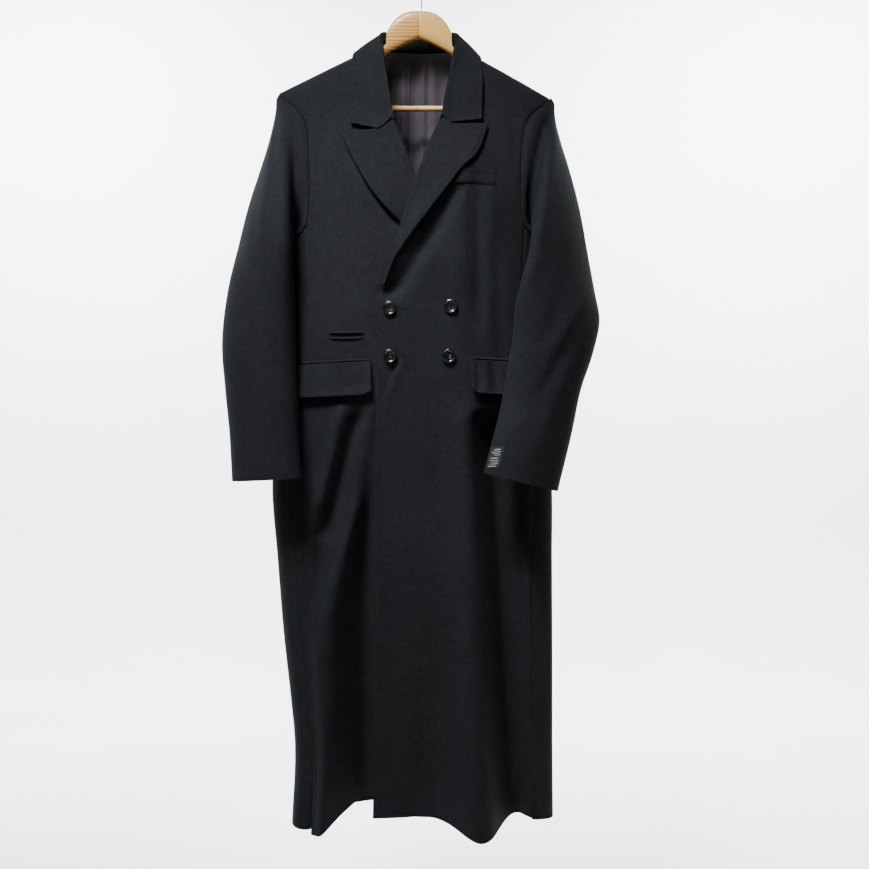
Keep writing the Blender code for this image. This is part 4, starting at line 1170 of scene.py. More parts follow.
    def clear_of_body(self, points: Array, stations: Array) -> Array:
        """Push points off the body.

        Args:
            points: The sleeve's points.
            stations: Shares of the way to the cuff.

        Returns:
            The points, outside the body's squared oval and a room that widens from the armhole down.
        """
        form = self.form
        x, y, z = points[..., 0], points[..., 1], points[..., 2]
        centre, half, mid, ahead, behind = form.section(z)
        opened = ease(0.0, self.opens_by, stations)[:, None]
        room = self.armhole_room + (self.room - self.armhole_room) * opened
        across = (x - centre) / (half + room)
        deep = (y - mid) / (np.where(y < mid, ahead, behind) + room)
        power = form.squareness
        reach = (np.abs(across) ** power + np.abs(deep) ** power) ** (1.0 / power)
        push = np.maximum(1.0 / np.maximum(reach, 0.2), 1.0)
        push = 1.0 + (push - 1.0) * ease(*self.clears_from, z)
        return np.stack([centre + (x - centre) * push, mid + (y - mid) * push, z], -1)

    def build(self, room: Workroom, wool: Material) -> None:
        """Make both sleeves; at the armhole the edge draws in to the body, with a soft roll below it."""
        full = 2 * math.pi
        start, end = (full * turn for turn in self.seam_turns)
        pieces = (("top", start, end, 0.3), ("under", end, start + full, 0.17))
        for side in Side:
            for word, first, last, width in pieces:
                angles = first + self.seam_gap + (last - first - 2 * self.seam_gap) * shares(width, 0.0032)
                stations = shares(0.66, 0.0044)
                points = self.surface(side, angles, stations)
                edges = endings(Ending.HIDDEN, Ending.HEM, Ending.SEAM, Ending.SEAM)
                shell = Shell(f"{side.word}_{word}_sleeve_cloth", points, -side.value, edges)
                tuck = self.head_tuck * bell(shell.away[Edge.TOP], self.head_tuck_width)
                roll = self.head_swell * bell(shell.away[Edge.TOP] - 0.014, 0.009) * (word == "top")
                shell.outer = shell.outer + shell.normal * (roll - tuck)[..., None]
                node = f"{side.word}_{word}_sleeve"
                room.sew(shell, wool, (node,))


@dataclass
class Pockets:
    """The pockets: two flaps under their beads, the jetted ticket pocket and the chest welt."""

    form: BodyForm
    flaps: ClassVar[dict[Side, tuple[float, float, float]]] = {
        Side.RIGHT: (-0.0805, -0.2, -0.6665),
        Side.LEFT: (0.0815, 0.178, -0.664),
    }
    flap_height: float = 0.052
    flap_fall: float = 0.04
    flap_slope: float = 0.001
    flap_lift: float = 0.007
    flap_corner: float = 0.004
    corner_share: float = 0.05
    bead_height: float = 0.0045
    bead_rise: float = 0.0024
    ticket: tuple[float, float, float] = (-0.1484, -0.0912, -0.6175)
    ticket_slit: float = 0.004
    ticket_sag: float = 0.0012
    welt: tuple[float, float, float, float] = (0.056, 0.1225, -0.356, 0.024)
    flap_creases: ClassVar[dict[Side, tuple[Fold, ...]]] = {
        Side.RIGHT: folds(
            (-146, -668, -130, -706, 3.5, 5, 1.6, 2, 12), (-138, -668, -122, -712, 4, 6, -2.2, -2, 12),
            (-118, -668, -118, -700, 6, 8, 1.2, 1, 12), (-176, -672, -184, -720, 10, 11, 1.2, 1.4, 16),
            (-84, -668, -82, -712, 4, 4, 1, 1.6, 12),
        ),
        Side.LEFT: folds(
            (90, -668, 92, -712, 4, 5, -1.6, -2, 12), (102, -668, 106, -714, 5, 6, 2, 2.4, 12),
            (114, -668, 122, -716, 5, 6, -2, -2.4, 12), (128, -668, 136, -716, 6, 6, 1.6, 1.8, 12),
        ),
    }

    def lying(self, x: Array, z: Array, side: Side, lift: Array | float) -> Array:
        """Lay a grid on a front.

        Args:
            x: Places across.
            z: Heights.
            side: Which front.
            lift: How far off it.

        Returns:
            The grid of points.
        """
        key = side.value
        x, z = np.broadcast_arrays(x, z)
        points = np.stack([x, self.form.depth(x, z, Face.FRONT, key), z], -1)
        return points + self.form.outward(x, z, Face.FRONT, key) * (np.zeros_like(x) + lift)[..., None]

    def flap(self, side: Side) -> Array:
        """Lay out a flap: its bottom slopes to the side and stands off, and its front corner is round."""
        front, outer, top = self.flaps[side]
        s = shares(abs(outer - front), 0.0022)[None, :]
        t = shares(self.flap_height, 0.002)[:, None]
        corner = self.flap_corner * bell(s, self.corner_share)
        height = self.flap_height + self.flap_slope * s - corner
        x = front + (outer - front) * s + 0 * t
        z = top - np.abs(x - front) * self.flap_fall - height * t
        lift = CLOTH + 0.0006 + self.flap_lift * t**2 + 0.0012 * bell(t - 0.35, 0.3)
        return self.lying(x, z, side, lift + lifted(self.flap_creases[side], x, z))

    def bead(self, side: Side, start: float, end: float, top: float, fall: float, sag: float) -> Array:
        """Lay out a bead: a narrow strip with the section of a low arch.

        Args:
            side: Which front it lies on.
            start: Its first end.
            end: Its other end.
            top: Height of its top edge.
            fall: How much it falls for each metre from its first end.
            sag: How far its middle sags.

        Returns:
            The grid of points.
        """
        length = abs(end - start)
        s = shares(length, 0.0022, 0.0006, 0.003)[None, :]
        t = np.linspace(0.0, 1.0, 13)[:, None]
        x = start + (end - start) * s + 0 * t
        ends = 1.0 - (2 * s - 1.0) ** 6
        z = top - self.bead_height * t - np.abs(x - start) * fall - sag * np.sin(math.pi * s)
        lift = 0.0003 + self.bead_rise * np.sqrt(np.clip(1.0 - (2 * t - 1.0) ** 2, 0.0, 1.0)) * ends
        return self.lying(x, z, side, lift)

    def slit(self) -> Array:
        """Lay out the inner lip of the ticket pocket, which sinks between the two beads."""
        start, end, top = self.ticket
        s = shares(end - start, 0.0022, 0.0006, 0.003)[None, :]
        t = np.linspace(0.0, 1.0, 9)[:, None]
        x = start + (end - start) * s + 0 * t
        z = top - self.bead_height * 0.9 - (self.ticket_slit + self.bead_height * 0.2) * t
        return self.lying(x, z, Side.RIGHT, 0.0003 + 0 * t)

    def build(self, room: Workroom, wool: Material, shade: Material) -> None:
        """Make every pocket piece.

        Args:
            room: Takes the pieces in.
            wool: Finish of the shell cloth.
            shade: Finish of the cloth inside the ticket pocket: a darker copy of the coat wool, painted shade
                in the slit.
        """
        free = {edge: Ending.TURNED for edge in Edge}
        small = {edge: Ending.HIDDEN for edge in Edge}
        for side in Side:
            front, outer, top = self.flaps[side]
            edges = free | {Edge.TOP: Ending.HIDDEN}
            shell = Shell(f"{side.word}_flap_cloth", self.flap(side), side.value, edges)
            room.sew(shell, wool, (f"{side.word}_flap",))
            line = self.bead(side, front, outer, top + self.bead_height + 0.0003, self.flap_fall, 0.0)
            shell = Shell(f"{side.word}_jetting_cloth", line, side.value, small, 0.0011)
            room.sew(shell, wool, (f"{side.word}_jetting",))
        start, end, top = self.ticket
        low = top - self.bead_height - self.ticket_slit
        for word, at, sag in (("upper", top, 0.0003), ("lower", low, self.ticket_sag)):
            line = self.bead(Side.RIGHT, start, end, at, 0.0, sag)
            shell = Shell(f"ticket_jetting_{word}_cloth", line, 1, small, 0.0011)
            room.sew(shell, wool, (f"ticket_jetting_{word}",))
        # The lip wears the darker copy of the wool: painted shade in the ticket pocket's slit.
        lip = Shell("ticket_pocket_lip", self.slit(), 1, small, 0.0002)
        room.sew(lip, shade, ())
        first, last, high, height = self.welt
        s = shares(last - first, 0.0022)[None, :]
        t = shares(height, 0.002)[:, None]
        x = first + (last - first) * s + 0 * t
        z = high - height * t - 0.0018 * s
        points = self.lying(x, z, Side.LEFT, 0.0012 + 0.0008 * (1.0 - t) ** 2 - 0.0022 * ease(0.93, 1.0, s))
        edges = free | {Edge.BOTTOM: Ending.SEAM}
        shell = Shell("chest_welt_cloth", points, 1, edges)
        room.sew(shell, wool, ("chest_welt",))


@dataclass
class Buttons:
    """Four dished buttons with a raised rim, sewn on through four holes."""

    form: BodyForm
    places: tuple[tuple[str, float, float], ...] = (
        ("button_upper_right", -0.0503, -0.5815),
        ("button_upper_left", 0.0482, -0.5785),
        ("button_lower_right", -0.0499, -0.6582),
        ("button_lower_left", 0.045, -0.6584),
    )
    radius: float = 0.011
    height: float = 0.0042
    stands_off: float = 0.0006
    hole_spread: float = 0.0024
    hole_radius: float = 0.0009
    hole_depth: float = 0.0016
    thread_radius: float = 0.00042
    profile: Table = (  # radius and height as shares, from the back round to the middle
        (0.3, 0.0), (0.74, 0.0), (0.93, 0.2), (1.0, 0.5), (0.985, 0.78), (0.92, 0.96), (0.85, 1.0),
        (0.79, 0.94), (0.75, 0.8), (0.7, 0.7), (0.5, 0.66), (0.2, 0.64), (0.03, 0.64),
    )

    def seat(self, x: float, z: float) -> tuple[Array, Array]:
        """Work out where a button sits.

        Args:
            x: Its place across.
            z: Its height.

        Returns:
            Its place, and its three axes as the columns of a matrix, the last along its own axis.
        """
        spot = np.array([x]), np.array([z])
        facing = self.form.outward(*spot, Face.FRONT, 1)[0]
        across = unit(np.cross(np.array([0.0, 0.0, 1.0]), facing))
        place = np.array([x, self.form.depth(*spot, Face.FRONT, 1)[0], z]) + facing * self.stands_off
        return place, np.stack([across, np.cross(facing, across), facing], -1)

    def disc(self) -> tuple[Array, list[Array]]:
        """Turn the profile: radius and height run along it, and four wells sink the face at the holes."""
        table = np.array(self.profile)
        lengths = lengths_along(table)
        t = np.linspace(0.0, 1.0, 56)
        line = through(t, lengths / lengths[-1], table)
        angle = np.linspace(0.0, 2 * math.pi, 72, endpoint=False)
        radius, height = line[:, :1] * self.radius, line[:, 1:] * self.height
        x, y = radius * np.cos(angle), radius * np.sin(angle)
        h = height + 0 * x
        on_face = ease(0.72, 0.66, line[:, :1]) * (t[:, None] > 0.4)
        for turn in math.pi / 4 + np.arange(4) * math.pi / 2:
            off = np.hypot(x - self.hole_spread * math.cos(turn), y - self.hole_spread * math.sin(turn))
            h = h - self.hole_depth * on_face * ease(self.hole_radius * 1.25, self.hole_radius * 0.8, off)
        poles = np.array([[0.0, 0.0, 0.0], [0.0, 0.0, float(h[-1].mean())]])
        vertices = np.concatenate([np.stack([x, y, h], -1).reshape(-1, 3), poles])
        return vertices, tube_faces(*x.shape)

    def build(self, room: Workroom, horn: Material, thread: Material) -> None:
        """Make the buttons and their thread.

        Args:
            room: Takes the pieces in.
            horn: Finish of the buttons.
            thread: Finish of the thread that crosses them.
        """
        vertices, faces = self.disc()
        strands = Strands("button_thread", self.thread_radius)
        for name, x, z in self.places:
            place, axes = self.seat(x, z)
            room.take(mesh_object(f"{name}_turned", vertices @ axes.T + place, faces, horn), (name,))
            reach = self.hole_spread * math.sin(math.pi / 4)
            top = self.height * 0.64
            for side in (-1.0, 1.0):
                for shift in (-0.5, 0.5):
                    y = side * reach + shift * self.thread_radius * 1.8
                    ends = np.array([-reach * 1.1, -reach * 0.7, 0.0, reach * 0.7, reach * 1.1])
                    rise = np.array([-0.0008, 0.0002, 0.0006, 0.0002, -0.0008]) + top
                    strands.add(np.stack([ends, 0 * ends + y, rise], -1) @ axes.T + place)
        room.take(strands.build(thread))


@dataclass
class Strands:
    """Short lengths of thread, joined into one mesh."""

    name: str
    radius: float
    sides: int = 6
    points: list[Array] = field(default_factory=list)
    faces: list[Array] = field(default_factory=list)
    caps: list[Array] = field(default_factory=list)
    count: int = 0

    def add(self, paths: Array) -> None:
        """Sweep a circle along paths, with a point at each end.

        A ring is the path's point plus the radius times the cosine and the sine along two lines square to it.

        Args:
            paths: One path, or a stack of paths with the same number of points.
        """
        paths = paths if paths.ndim == 3 else paths[None]
        along = unit(np.gradient(paths, axis=1))
        helper = np.where(np.abs(along[..., 1:2]) < 0.8, np.array([0.0, 1.0, 0.0]), np.array([1.0, 0.0, 0.0]))
        one = unit(np.cross(along, helper))
        two = np.cross(along, one)
        number, length = paths.shape[:2]
        angle = np.linspace(0.0, 2 * math.pi, self.sides, endpoint=False)
        t = np.linspace(-1.0, 1.0, length)[None, :, None, None]
        size = self.radius * np.sqrt(np.clip(1.05 - t**4, 0.05, 1.0))
        ring = one[:, :, None] * np.cos(angle)[:, None] + two[:, :, None] * np.sin(angle)[:, None]
        tube = paths[:, :, None] + ring * size
        tips = paths[:, [0, -1]] + along[:, [0, -1]] * np.array([[-0.4], [0.4]]) * self.radius
        block = length * self.sides + 2
        start = self.count + np.arange(number)[:, None, None] * block
        place = start + np.arange(length * self.sides).reshape(length, self.sides)[None]
        after = np.roll(place, -1, axis=2)
        quads = np.stack([place[:, :-1], after[:, :-1], after[:, 1:], place[:, 1:]], -1)
        first, last = start[..., 0] + length * self.sides, start[..., 0] + length * self.sides + 1
        low = np.stack([after[:, 0], place[:, 0], first + 0 * place[:, 0]], -1)
        high = np.stack([place[:, -1], after[:, -1], last + 0 * place[:, 0]], -1)
        self.points.append(np.concatenate([tube.reshape(number, -1, 3), tips], axis=1).reshape(-1, 3))
        self.faces.append(quads.reshape(-1, 4))
        self.caps.append(np.concatenate([low.reshape(-1, 3), high.reshape(-1, 3)]))
        self.count += number * block

    def build(self, material: Material) -> bpy.types.Object:
        """Join the strands into one piece."""
        faces = [np.concatenate(self.faces), np.concatenate(self.caps)]
        return mesh_object(self.name, np.concatenate(self.points), faces, material)


@dataclass
class Needlework:
    """Hand-picked stitches along the turned edges, and the two buttonholes that show."""

    form: BodyForm
    buttons: Buttons
    pitch: float = 0.0062
    length: float = 0.003
    inset: float = 0.006
    radius: float = 0.00026
    hole_length: float = 0.0235
    hole_lip: float = 0.0011
    hole_starts: float = 0.0035
    purls: int = 46

    def pick(
        self, strands: Strands, line: Array, normal: Array, start: float = 0.0, end: float = 1.0
    ) -> None:
        """Lay picked stitches along a line: each is a low arch whose ends sink into the cloth.

        Args:
            strands: Gathers the stitches.
            line: Points along the line.
            normal: Normals of the cloth there.
            start: Share of the line where the stitches start.
            end: Share where they end.
        """
        lengths = lengths_along(line)
        whole = lengths[-1]
        starts = np.arange(start * whole, end * whole - self.length, self.pitch)
        t = np.linspace(0.0, 1.0, 5)
        places = starts[:, None] + t[None, :] * self.length
        path = np.stack([np.interp(places, lengths, line[:, n]) for n in range(3)], -1)
        up = np.stack([np.interp(places, lengths, normal[:, n]) for n in range(3)], -1)
        arch = self.radius * (1.6 * np.sin(math.pi * t) - 0.9)
        strands.add(path + up * arch[None, :, None])

    def buttonhole(self, strands: Strands, x: float, z: float) -> None:
        """Work a buttonhole: purls side by side round a long narrow loop, which rises a little off the cloth.

        Args:
            strands: Gathers the purls.
            x: Place of its button.
            z: Height of its button.
        """
        half = self.hole_length / 2
        turn = np.linspace(0.0, 2 * math.pi, self.purls, endpoint=False)
        across = self.hole_starts + half + half * np.sign(np.cos(turn)) * np.abs(np.cos(turn)) ** 0.7
        up = self.hole_lip * np.sin(turn)
        t = np.linspace(-1.0, 1.0, 5)
        out = np.stack([np.cos(turn) * 0.3, np.sign(np.sin(turn) + 1e-9)], -1)
        reach = 0.0007
        path = np.stack([across, up], -1)[:, None] + out[:, None] * (t * reach)[None, :, None]
        deep = self.form.depth(x + path[..., 0], z + path[..., 1], Face.FRONT, 1)
        arch = 0.0006 * (1.0 - t**2)
        strands.add(np.stack([x + path[..., 0], deep - arch, z + path[..., 1]], -1))

    def build(self, room: Workroom, thread: Material) -> None:
        """Stitch every turned edge that shows, and work the buttonholes.

        Args:
            room: Holds the shells and takes the pieces in.
            thread: Finish.
        """
        rows = [("left_front", Edge.START, 0.345, 0.997)]
        for side in Side:
            lapel, flap = f"{side.word}_lapel", f"{side.word}_flap"
            rows += [(lapel, Edge.END, 0.03, 0.93), (lapel, Edge.TOP, 0.25, 0.98)]
            rows += [(flap, Edge.BOTTOM, 0.02, 0.98), (flap, Edge.START, 0.05, 0.9)]
        rows.append(("collar", Edge.END, 0.0, 1.0))
        rows += [("collar", Edge.TOP, 0.4, 0.95), ("collar", Edge.BOTTOM, 0.4, 0.95)]
        strands = Strands("edge_stitches", self.radius, 5)
        for name, edge, start, end in rows:
            line, normal = room.shells[f"{name}_cloth"].line_in(edge, self.inset)
            self.pick(strands, line, normal, start, end)
        self.pick(strands, *room.shells["chest_welt_cloth"].line_in(Edge.TOP, self.inset / 2), 0.02, 0.98)
        room.take(strands.build(thread))
        holes = Strands("buttonholes", 0.00036, 5)
        for name, x, z in self.buttons.places:
            if name.endswith("right"):
                self.buttonhole(holes, x, z)
        room.take(holes.build(thread))


@dataclass
class BackLining:
    """The lining inside the upper back, as far as the neck opening shows it, with its pleat."""

    form: BodyForm
    top_half: float = 0.066
    low_half: float = 0.1
    below_neck: float = 0.004
    length: float = 0.3
    widens_by: float = 0.4
    gap: float = 0.0013
    thickness: float = 0.0006
    pleat_x: float = -0.0175
    pleat_step: float = 0.0024
    ripples: tuple[Fold, ...] = folds(
        (-46, -120, -60, -460, 6, 12, -2.4, -3), (-30, -120, -34, -460, 5, 10, -2.6, -3.6),
        (4, -120, -2, -460, 5, 10, -3, -4), (20, -120, 22, -460, 6, 12, -2.2, -3.4),
        (42, -120, 56, -460, 6, 12, -2.8, -3), (-10, -120, -14, -460, 3, 5, 1.2, 1.6),
    )

    def build(self, room: Workroom, satin: Material) -> None:
        """Make the lining: it hangs inside the back, ripples softly and steps at the pleat's folded edge."""
        form = self.form
        s = (2.0 * shares(0.18, 0.0016, 0.0008, 0.004) - 1.0)[None, :]
        t = shares(self.length, 0.004)[:, None]
        half = self.top_half + (self.low_half - self.top_half) * ease(0.0, self.widens_by, t)
        x = form.centre_x + half * s
        z = form.back_neck_z - form.neck_dip - self.below_neck - self.length * t + 0 * s
        fall = ease(0.0, 0.1, t)
        pleat = self.pleat_step * ease(self.pleat_x + 0.0006, self.pleat_x - 0.0006, x + 0.01 * t)
        y = form.depth(x, z, Face.BACK, 0) - CLOTH - self.gap
        y = y + lifted(self.ripples, x, z) * (0.25 + 0.75 * fall) - pleat * (0.3 + 0.7 * fall)
        edges = {edge: Ending.HIDDEN for edge in Edge}
        shell = Shell("back_lining_satin", np.stack([x, y, z], -1), 1, edges, self.thickness)
        room.sew(shell, satin, ("back_lining",))


@dataclass
class SleeveLabel:
    """A plain woven label, sewn to the front of the left sleeve above the cuff."""

    sleeves: Sleeves
    around: tuple[float, float] = (2.3, 2.86)
    along: tuple[float, float] = (0.88, 0.968)
    thickness: float = 0.0007
    gap: float = 0.0006

    def build(self, room: Workroom, tape: Material, thread: Material) -> None:
        """Make the label and the stitches that hold its two ends."""
        angles = np.linspace(*self.around, 30)
        stations = np.linspace(*self.along, 46)
        points = self.sleeves.surface(Side.LEFT, angles, stations)
        edges = {edge: Ending.HEM for edge in Edge}
        shell = Shell("sleeve_label_tape", points, -1, edges, self.thickness, self.thickness + self.gap)
        room.sew(shell, tape, ("sleeve_label",))
        strands = Strands("label_stitches", 0.0003, 5)
        needle = Needlework(self.sleeves.form, Buttons(self.sleeves.form), 0.0034, 0.0022)
        for edge in (Edge.TOP, Edge.BOTTOM):
            needle.pick(strands, *shell.line_in(edge, 0.0018))
        room.take(strands.build(thread))


@dataclass
class Hanger:
    """The wooden hanger: two shaped arms joined in the middle, the bar between them and the wire hook."""

    form: BodyForm
    middle_x: float = -0.004
    profile: Table = metres(  # distance out, top, bottom, half thickness
        (0, -73.3, -120, 8.5), (18, -75, -127, 8.5), (32, -81, -134, 8.3), (45, -93.5, -140.5, 8),
        (54, -108.5, -146, 7.6), (61, -128, -151, 7.2), (67, -143, -156, 7), (100, -143, -178, 7),
        (135, -143, -201, 7.2), (160, -143, -230, 7.5), (178, -143, -245, 7.2), (194, -143, -241, 6.2),
        (203, -143, -226, 3.6),
    )
    neck: tuple[float, float] = (0.054, 0.066)
    corner: float = 2.6
    joint_depth: float = 0.0006
    joint_width: float = 0.0007
    pin: tuple[float, float, float] = (-0.0012, -0.116, 0.0011)
    bar_z: float = -0.2375
    bar_radius: float = 0.0047
    bar_reach: float = 0.1628
    wire: float = 0.0018
    hook_inside: float = 0.019
    hook_turn: tuple[float, float] = (-1.05, 3.45)

    def body(self) -> tuple[Array, list[Array]]:
        """Carry a squared oval from arm to arm.

        Top, bottom and thickness come from the profile, eased between its rows; under the coat the top
        follows the shoulder ridge. Where the two arms meet, the oval shrinks into a fine groove.

        Returns:
            Vertices and faces.
        """
        table = np.array(self.profile)
        half = np.linspace(0.0, 1.0, 110) ** 0.95 * table[-1, 0]
        half = np.sort(np.concatenate([half, np.linspace(0.0004, 0.004, 8)]))
        out = np.concatenate([-half[:0:-1], half])
        away = np.abs(out)
        top, bottom, thick = (through(away, table[:, 0], table[:, n]) for n in range(1, 4))
        x = out + self.middle_x
        under = self.form.ridge(x) - CLOTH - 0.0012
        top = np.where(away > self.neck[0], np.minimum(top, under), top)
        top = np.where(away > self.neck[1], under, top)
        closing = np.sqrt(np.clip((table[-1, 0] - away) / 0.006, 0.0, 1.0))
        middle = (top + bottom) / 2
        top, bottom = middle + (top - middle) * closing, middle + (bottom - middle) * closing
        groove = self.joint_depth * bell(out, self.joint_width)
        angle = np.linspace(0.0, 2 * math.pi, 40, endpoint=False)
        flat = np.sign(np.cos(angle)) * np.abs(np.cos(angle)) ** (2 / self.corner)
        tall = np.sign(np.sin(angle)) * np.abs(np.sin(angle)) ** (2 / self.corner)
        y = (thick * closing - groove)[:, None] * flat
        z = middle[:, None] + ((top - bottom) / 2 - groove)[:, None] * tall
        points = np.stack([x[:, None] + 0 * y, y, z], -1)[1:-1]
        tips = np.stack([points[0].mean(axis=0), points[-1].mean(axis=0)])
        faces = [np.roll(part[:, ::-1], 1, axis=1) for part in tube_faces(*points.shape[:2])]
        return np.concatenate([points.reshape(-1, 3), tips]), faces

    def hook(self) -> Array:
        """Follow the hook: a stem, an easy bend, then most of a turn round the rod's place."""
        radius = self.hook_inside + self.wire
        stem = [(0.0, self.profile[0][1] + 0.0003), (0.0, -0.062), (0.0015, -0.05), (0.0055, -0.0415)]
        angles = np.linspace(*self.hook_turn, 18)
        turn = [(radius * math.cos(a), -self.hook_inside + radius * math.sin(a)) for a in angles]
        line = np.array(stem + turn)
        steps = lengths_along(line)
        smooth = through(np.linspace(0.0, steps[-1], 140), steps, line)
        return np.stack([smooth[:, 0], 0 * smooth[:, 0], smooth[:, 1]], -1)

    def build(self, room: Workroom, wood: Material, wire: Material) -> None:
        """Make the body, the pin of its joint, the bar and the hook.

        Args:
            room: Takes the pieces in.
            wood: Finish of the body and the bar.
            wire: Finish of the hook and the pin.
        """
        vertices, faces = self.body()
        room.take(mesh_object("hanger_wood", vertices, faces, wood), ("hanger_body",))
        bar = Strands("hanger_dowel", self.bar_radius, 40)
        x = self.middle_x + self.bar_reach * np.linspace(-1.0, 1.0, 60)
        bar.add(np.stack([x, 0 * x, self.bar_z + 0 * x], -1))
        room.take(bar.build(wood), ("hanger_bar",))
        hook = Strands("hanger_wire", self.wire, 16)
        hook.add(self.hook())
        room.take(hook.build(wire), ("hanger_hook",))
        pin = Strands("hanger_pin", self.pin[2], 16)
        y = -self.profile[0][3] + np.linspace(-0.0005, 0.003, 6)
        pin.add(np.stack([self.middle_x + self.pin[0] + 0 * y, y, self.pin[1] + 0 * y], -1))
        room.take(pin.build(wire))


class Graph:
    """A material's node graph, built line by line."""

    def __init__(self, name: str) -> None:
        """Start a material: its shader, coordinates in space and, for cloth, on the flat cut in metres."""
        self.material = bpy.data.materials.new(name)
        self.material.use_nodes = True
        self.tree = self.material.node_tree
        self.shader = self.tree.nodes["Principled BSDF"]
        self.place = self.node("TexCoord").outputs["Object"]
        self.cut = self.node("UVMap", uv_map="cut").outputs[0]

    def node(
        self, kind: str, inputs: dict[str | int, object] | None = None, **settings: object
    ) -> bpy.types.Node:
        """Add a node.

        Args:
            kind: Its type, without the ShaderNode in front.
            inputs: Values or sockets for its inputs, by name or number.
            settings: Its own properties.

        Returns:
            The node.
        """
        made = self.tree.nodes.new("ShaderNode" + kind)
        for key, value in settings.items():
            setattr(made, key, value)
        for key, value in (inputs or {}).items():
            if isinstance(value, Socket):
                self.tree.links.new(value, made.inputs[key])
            else:
                made.inputs[key].default_value = value
        return made

    def math(self, operation: str, *values: object) -> Socket:
        """Add a Math node and give back its result."""
        return self.node("Math", dict(enumerate(values)), operation=operation).outputs[0]

    def times(self, value: Socket, share: float, rest: Socket | float = 0.0) -> Socket:
        """Multiply a value by its share and add the rest."""
        return self.math("MULTIPLY_ADD", value, share, rest)

    def noise(self, vector: Socket, scale: float, detail: float = 3.0, rough: float = 0.5) -> Socket:
        """Add a Noise texture and give back its factor."""
        inputs = {"Vector": vector, "Scale": scale, "Detail": detail, "Roughness": rough}
        return self.node("TexNoise", inputs).outputs[0]

    def stretched(self, source: Socket, scale: tuple[float, float, float], turn: float = 0.0) -> Socket:
        """Scale and turn a set of coordinates."""
        inputs = {"Vector": source, "Scale": scale, "Rotation": (0.0, 0.0, turn)}
        return self.node("Mapping", inputs).outputs[0]

    def ramp(
        self, factor: Socket, stops: tuple[tuple[float, tuple[float, float, float]], ...]
    ) -> Socket:
        """Turn a factor into a colour.

        Args:
            factor: The factor.
            stops: Places along the ramp and their colours.

        Returns:
            The colour.
        """
        made = self.node("ValToRGB", {0: factor})
        stones = made.color_ramp.elements
        while len(stones) < len(stops):
            stones.new(0.5)
        for stone, (place, colour) in zip(stones, stops):
            stone.position = place
            stone.color = (*colour, 1.0)
        return made.outputs[0]

    def bumps(self, layers: tuple[tuple[Socket, float], ...]) -> None:
        """Chain bump layers, each a height and its depth in metres, into the shader's normal."""
        normal = None
        for height, depth in layers:
            inputs = {"Height": height, "Distance": depth, "Strength": 1.0}
            if normal is not None:
                inputs["Normal"] = normal
            normal = self.node("Bump", inputs).outputs[0]
        self.tree.links.new(normal, self.shader.inputs["Normal"])

    def set(self, **values: object) -> None:
        """Set the shader's inputs; underscores stand for spaces, and a socket is linked."""
        for key, value in values.items():
            socket = self.shader.inputs[key.replace("_", " ")]
            if isinstance(value, Socket):
                self.tree.links.new(value, socket)
            else:
                socket.default_value = value


@dataclass(frozen=True)
class WoolFinish:
    """Milled wool: a short nap over a fine twill, nearly black with a cool cast."""

    name: str
    dark: tuple[float, float, float] = (0.0062, 0.0069, 0.008)
    light: tuple[float, float, float] = (0.0155, 0.017, 0.0198)
    sheen: float = 0.015
    sheen_tint: tuple[float, float, float] = (0.62, 0.8, 0.9)
    twill_pitch: float = 0.0013
    twill_depth: float = 0.0001
    nap_depth: float = 0.00022
    cloud_depth: float = 0.0008

    def material(self) -> Material:
        """Mix the cloud of the nap, its fibres and the twill lines into colour, roughness and bump."""
        graph = Graph(self.name)
        cloud = graph.noise(graph.place, 9.0, 4.0)
        mottle = graph.noise(graph.place, 130.0, 3.0, 0.6)
        fibres = graph.noise(graph.stretched(graph.place, (900.0, 900.0, 420.0)), 1.0, 4.0, 0.7)
        scale = 2 * math.pi / (20.0 * self.twill_pitch)
        waves = {"Vector": graph.cut, "Scale": scale, "Distortion": 0.8, "Detail": 1.0, "Detail Scale": 2.0}
        twill = graph.node("TexWave", waves, wave_type="BANDS", bands_direction="DIAGONAL").outputs[1]
        mixed = graph.times(mottle, 0.35, graph.times(cloud, 0.15))
        mixed = graph.times(fibres, 0.35, mixed)
        mixed = graph.times(twill, 0.08, mixed)
        colour = graph.ramp(mixed, ((0.28, self.dark), (0.64, self.light)))
        rough = graph.times(fibres, 0.18, 0.78)
        graph.set(Base_Color=colour, Roughness=rough, Sheen_Weight=self.sheen, Sheen_Roughness=0.45)
        graph.set(Sheen_Tint=(*self.sheen_tint, 1.0), Specular_IOR_Level=0.03)
        graph.bumps(((cloud, self.cloud_depth), (twill, self.twill_depth), (fibres, self.nap_depth)))
        return graph.material


@dataclass(frozen=True)
class SatinFinish:
    """Lining satin: brownish grey, with fine lengthwise threads and a soft gloss."""

    name: str
    dark: tuple[float, float, float] = (0.036, 0.03, 0.04)
    light: tuple[float, float, float] = (0.094, 0.08, 0.1)

    def material(self) -> Material:
        """Stretch noise along the warp for the threads, and let a slow cloud shift the colour."""
        graph = Graph(self.name)
        warp = graph.noise(graph.stretched(graph.cut, (3200.0, 260.0, 1.0)), 1.0, 2.0, 0.6)
        cloud = graph.noise(graph.place, 22.0, 3.0)
        mixed = graph.times(warp, 0.5, graph.times(cloud, 0.5))
        graph.set(Base_Color=graph.ramp(mixed, ((0.35, self.dark), (0.68, self.light))))
        graph.set(Roughness=graph.times(warp, 0.2, 0.32), Anisotropic=0.5)
        graph.set(Sheen_Weight=0.15, Sheen_Roughness=0.4, Specular_IOR_Level=0.55)
        graph.bumps(((cloud, 0.0009), (warp, 0.00004)))
        return graph.material


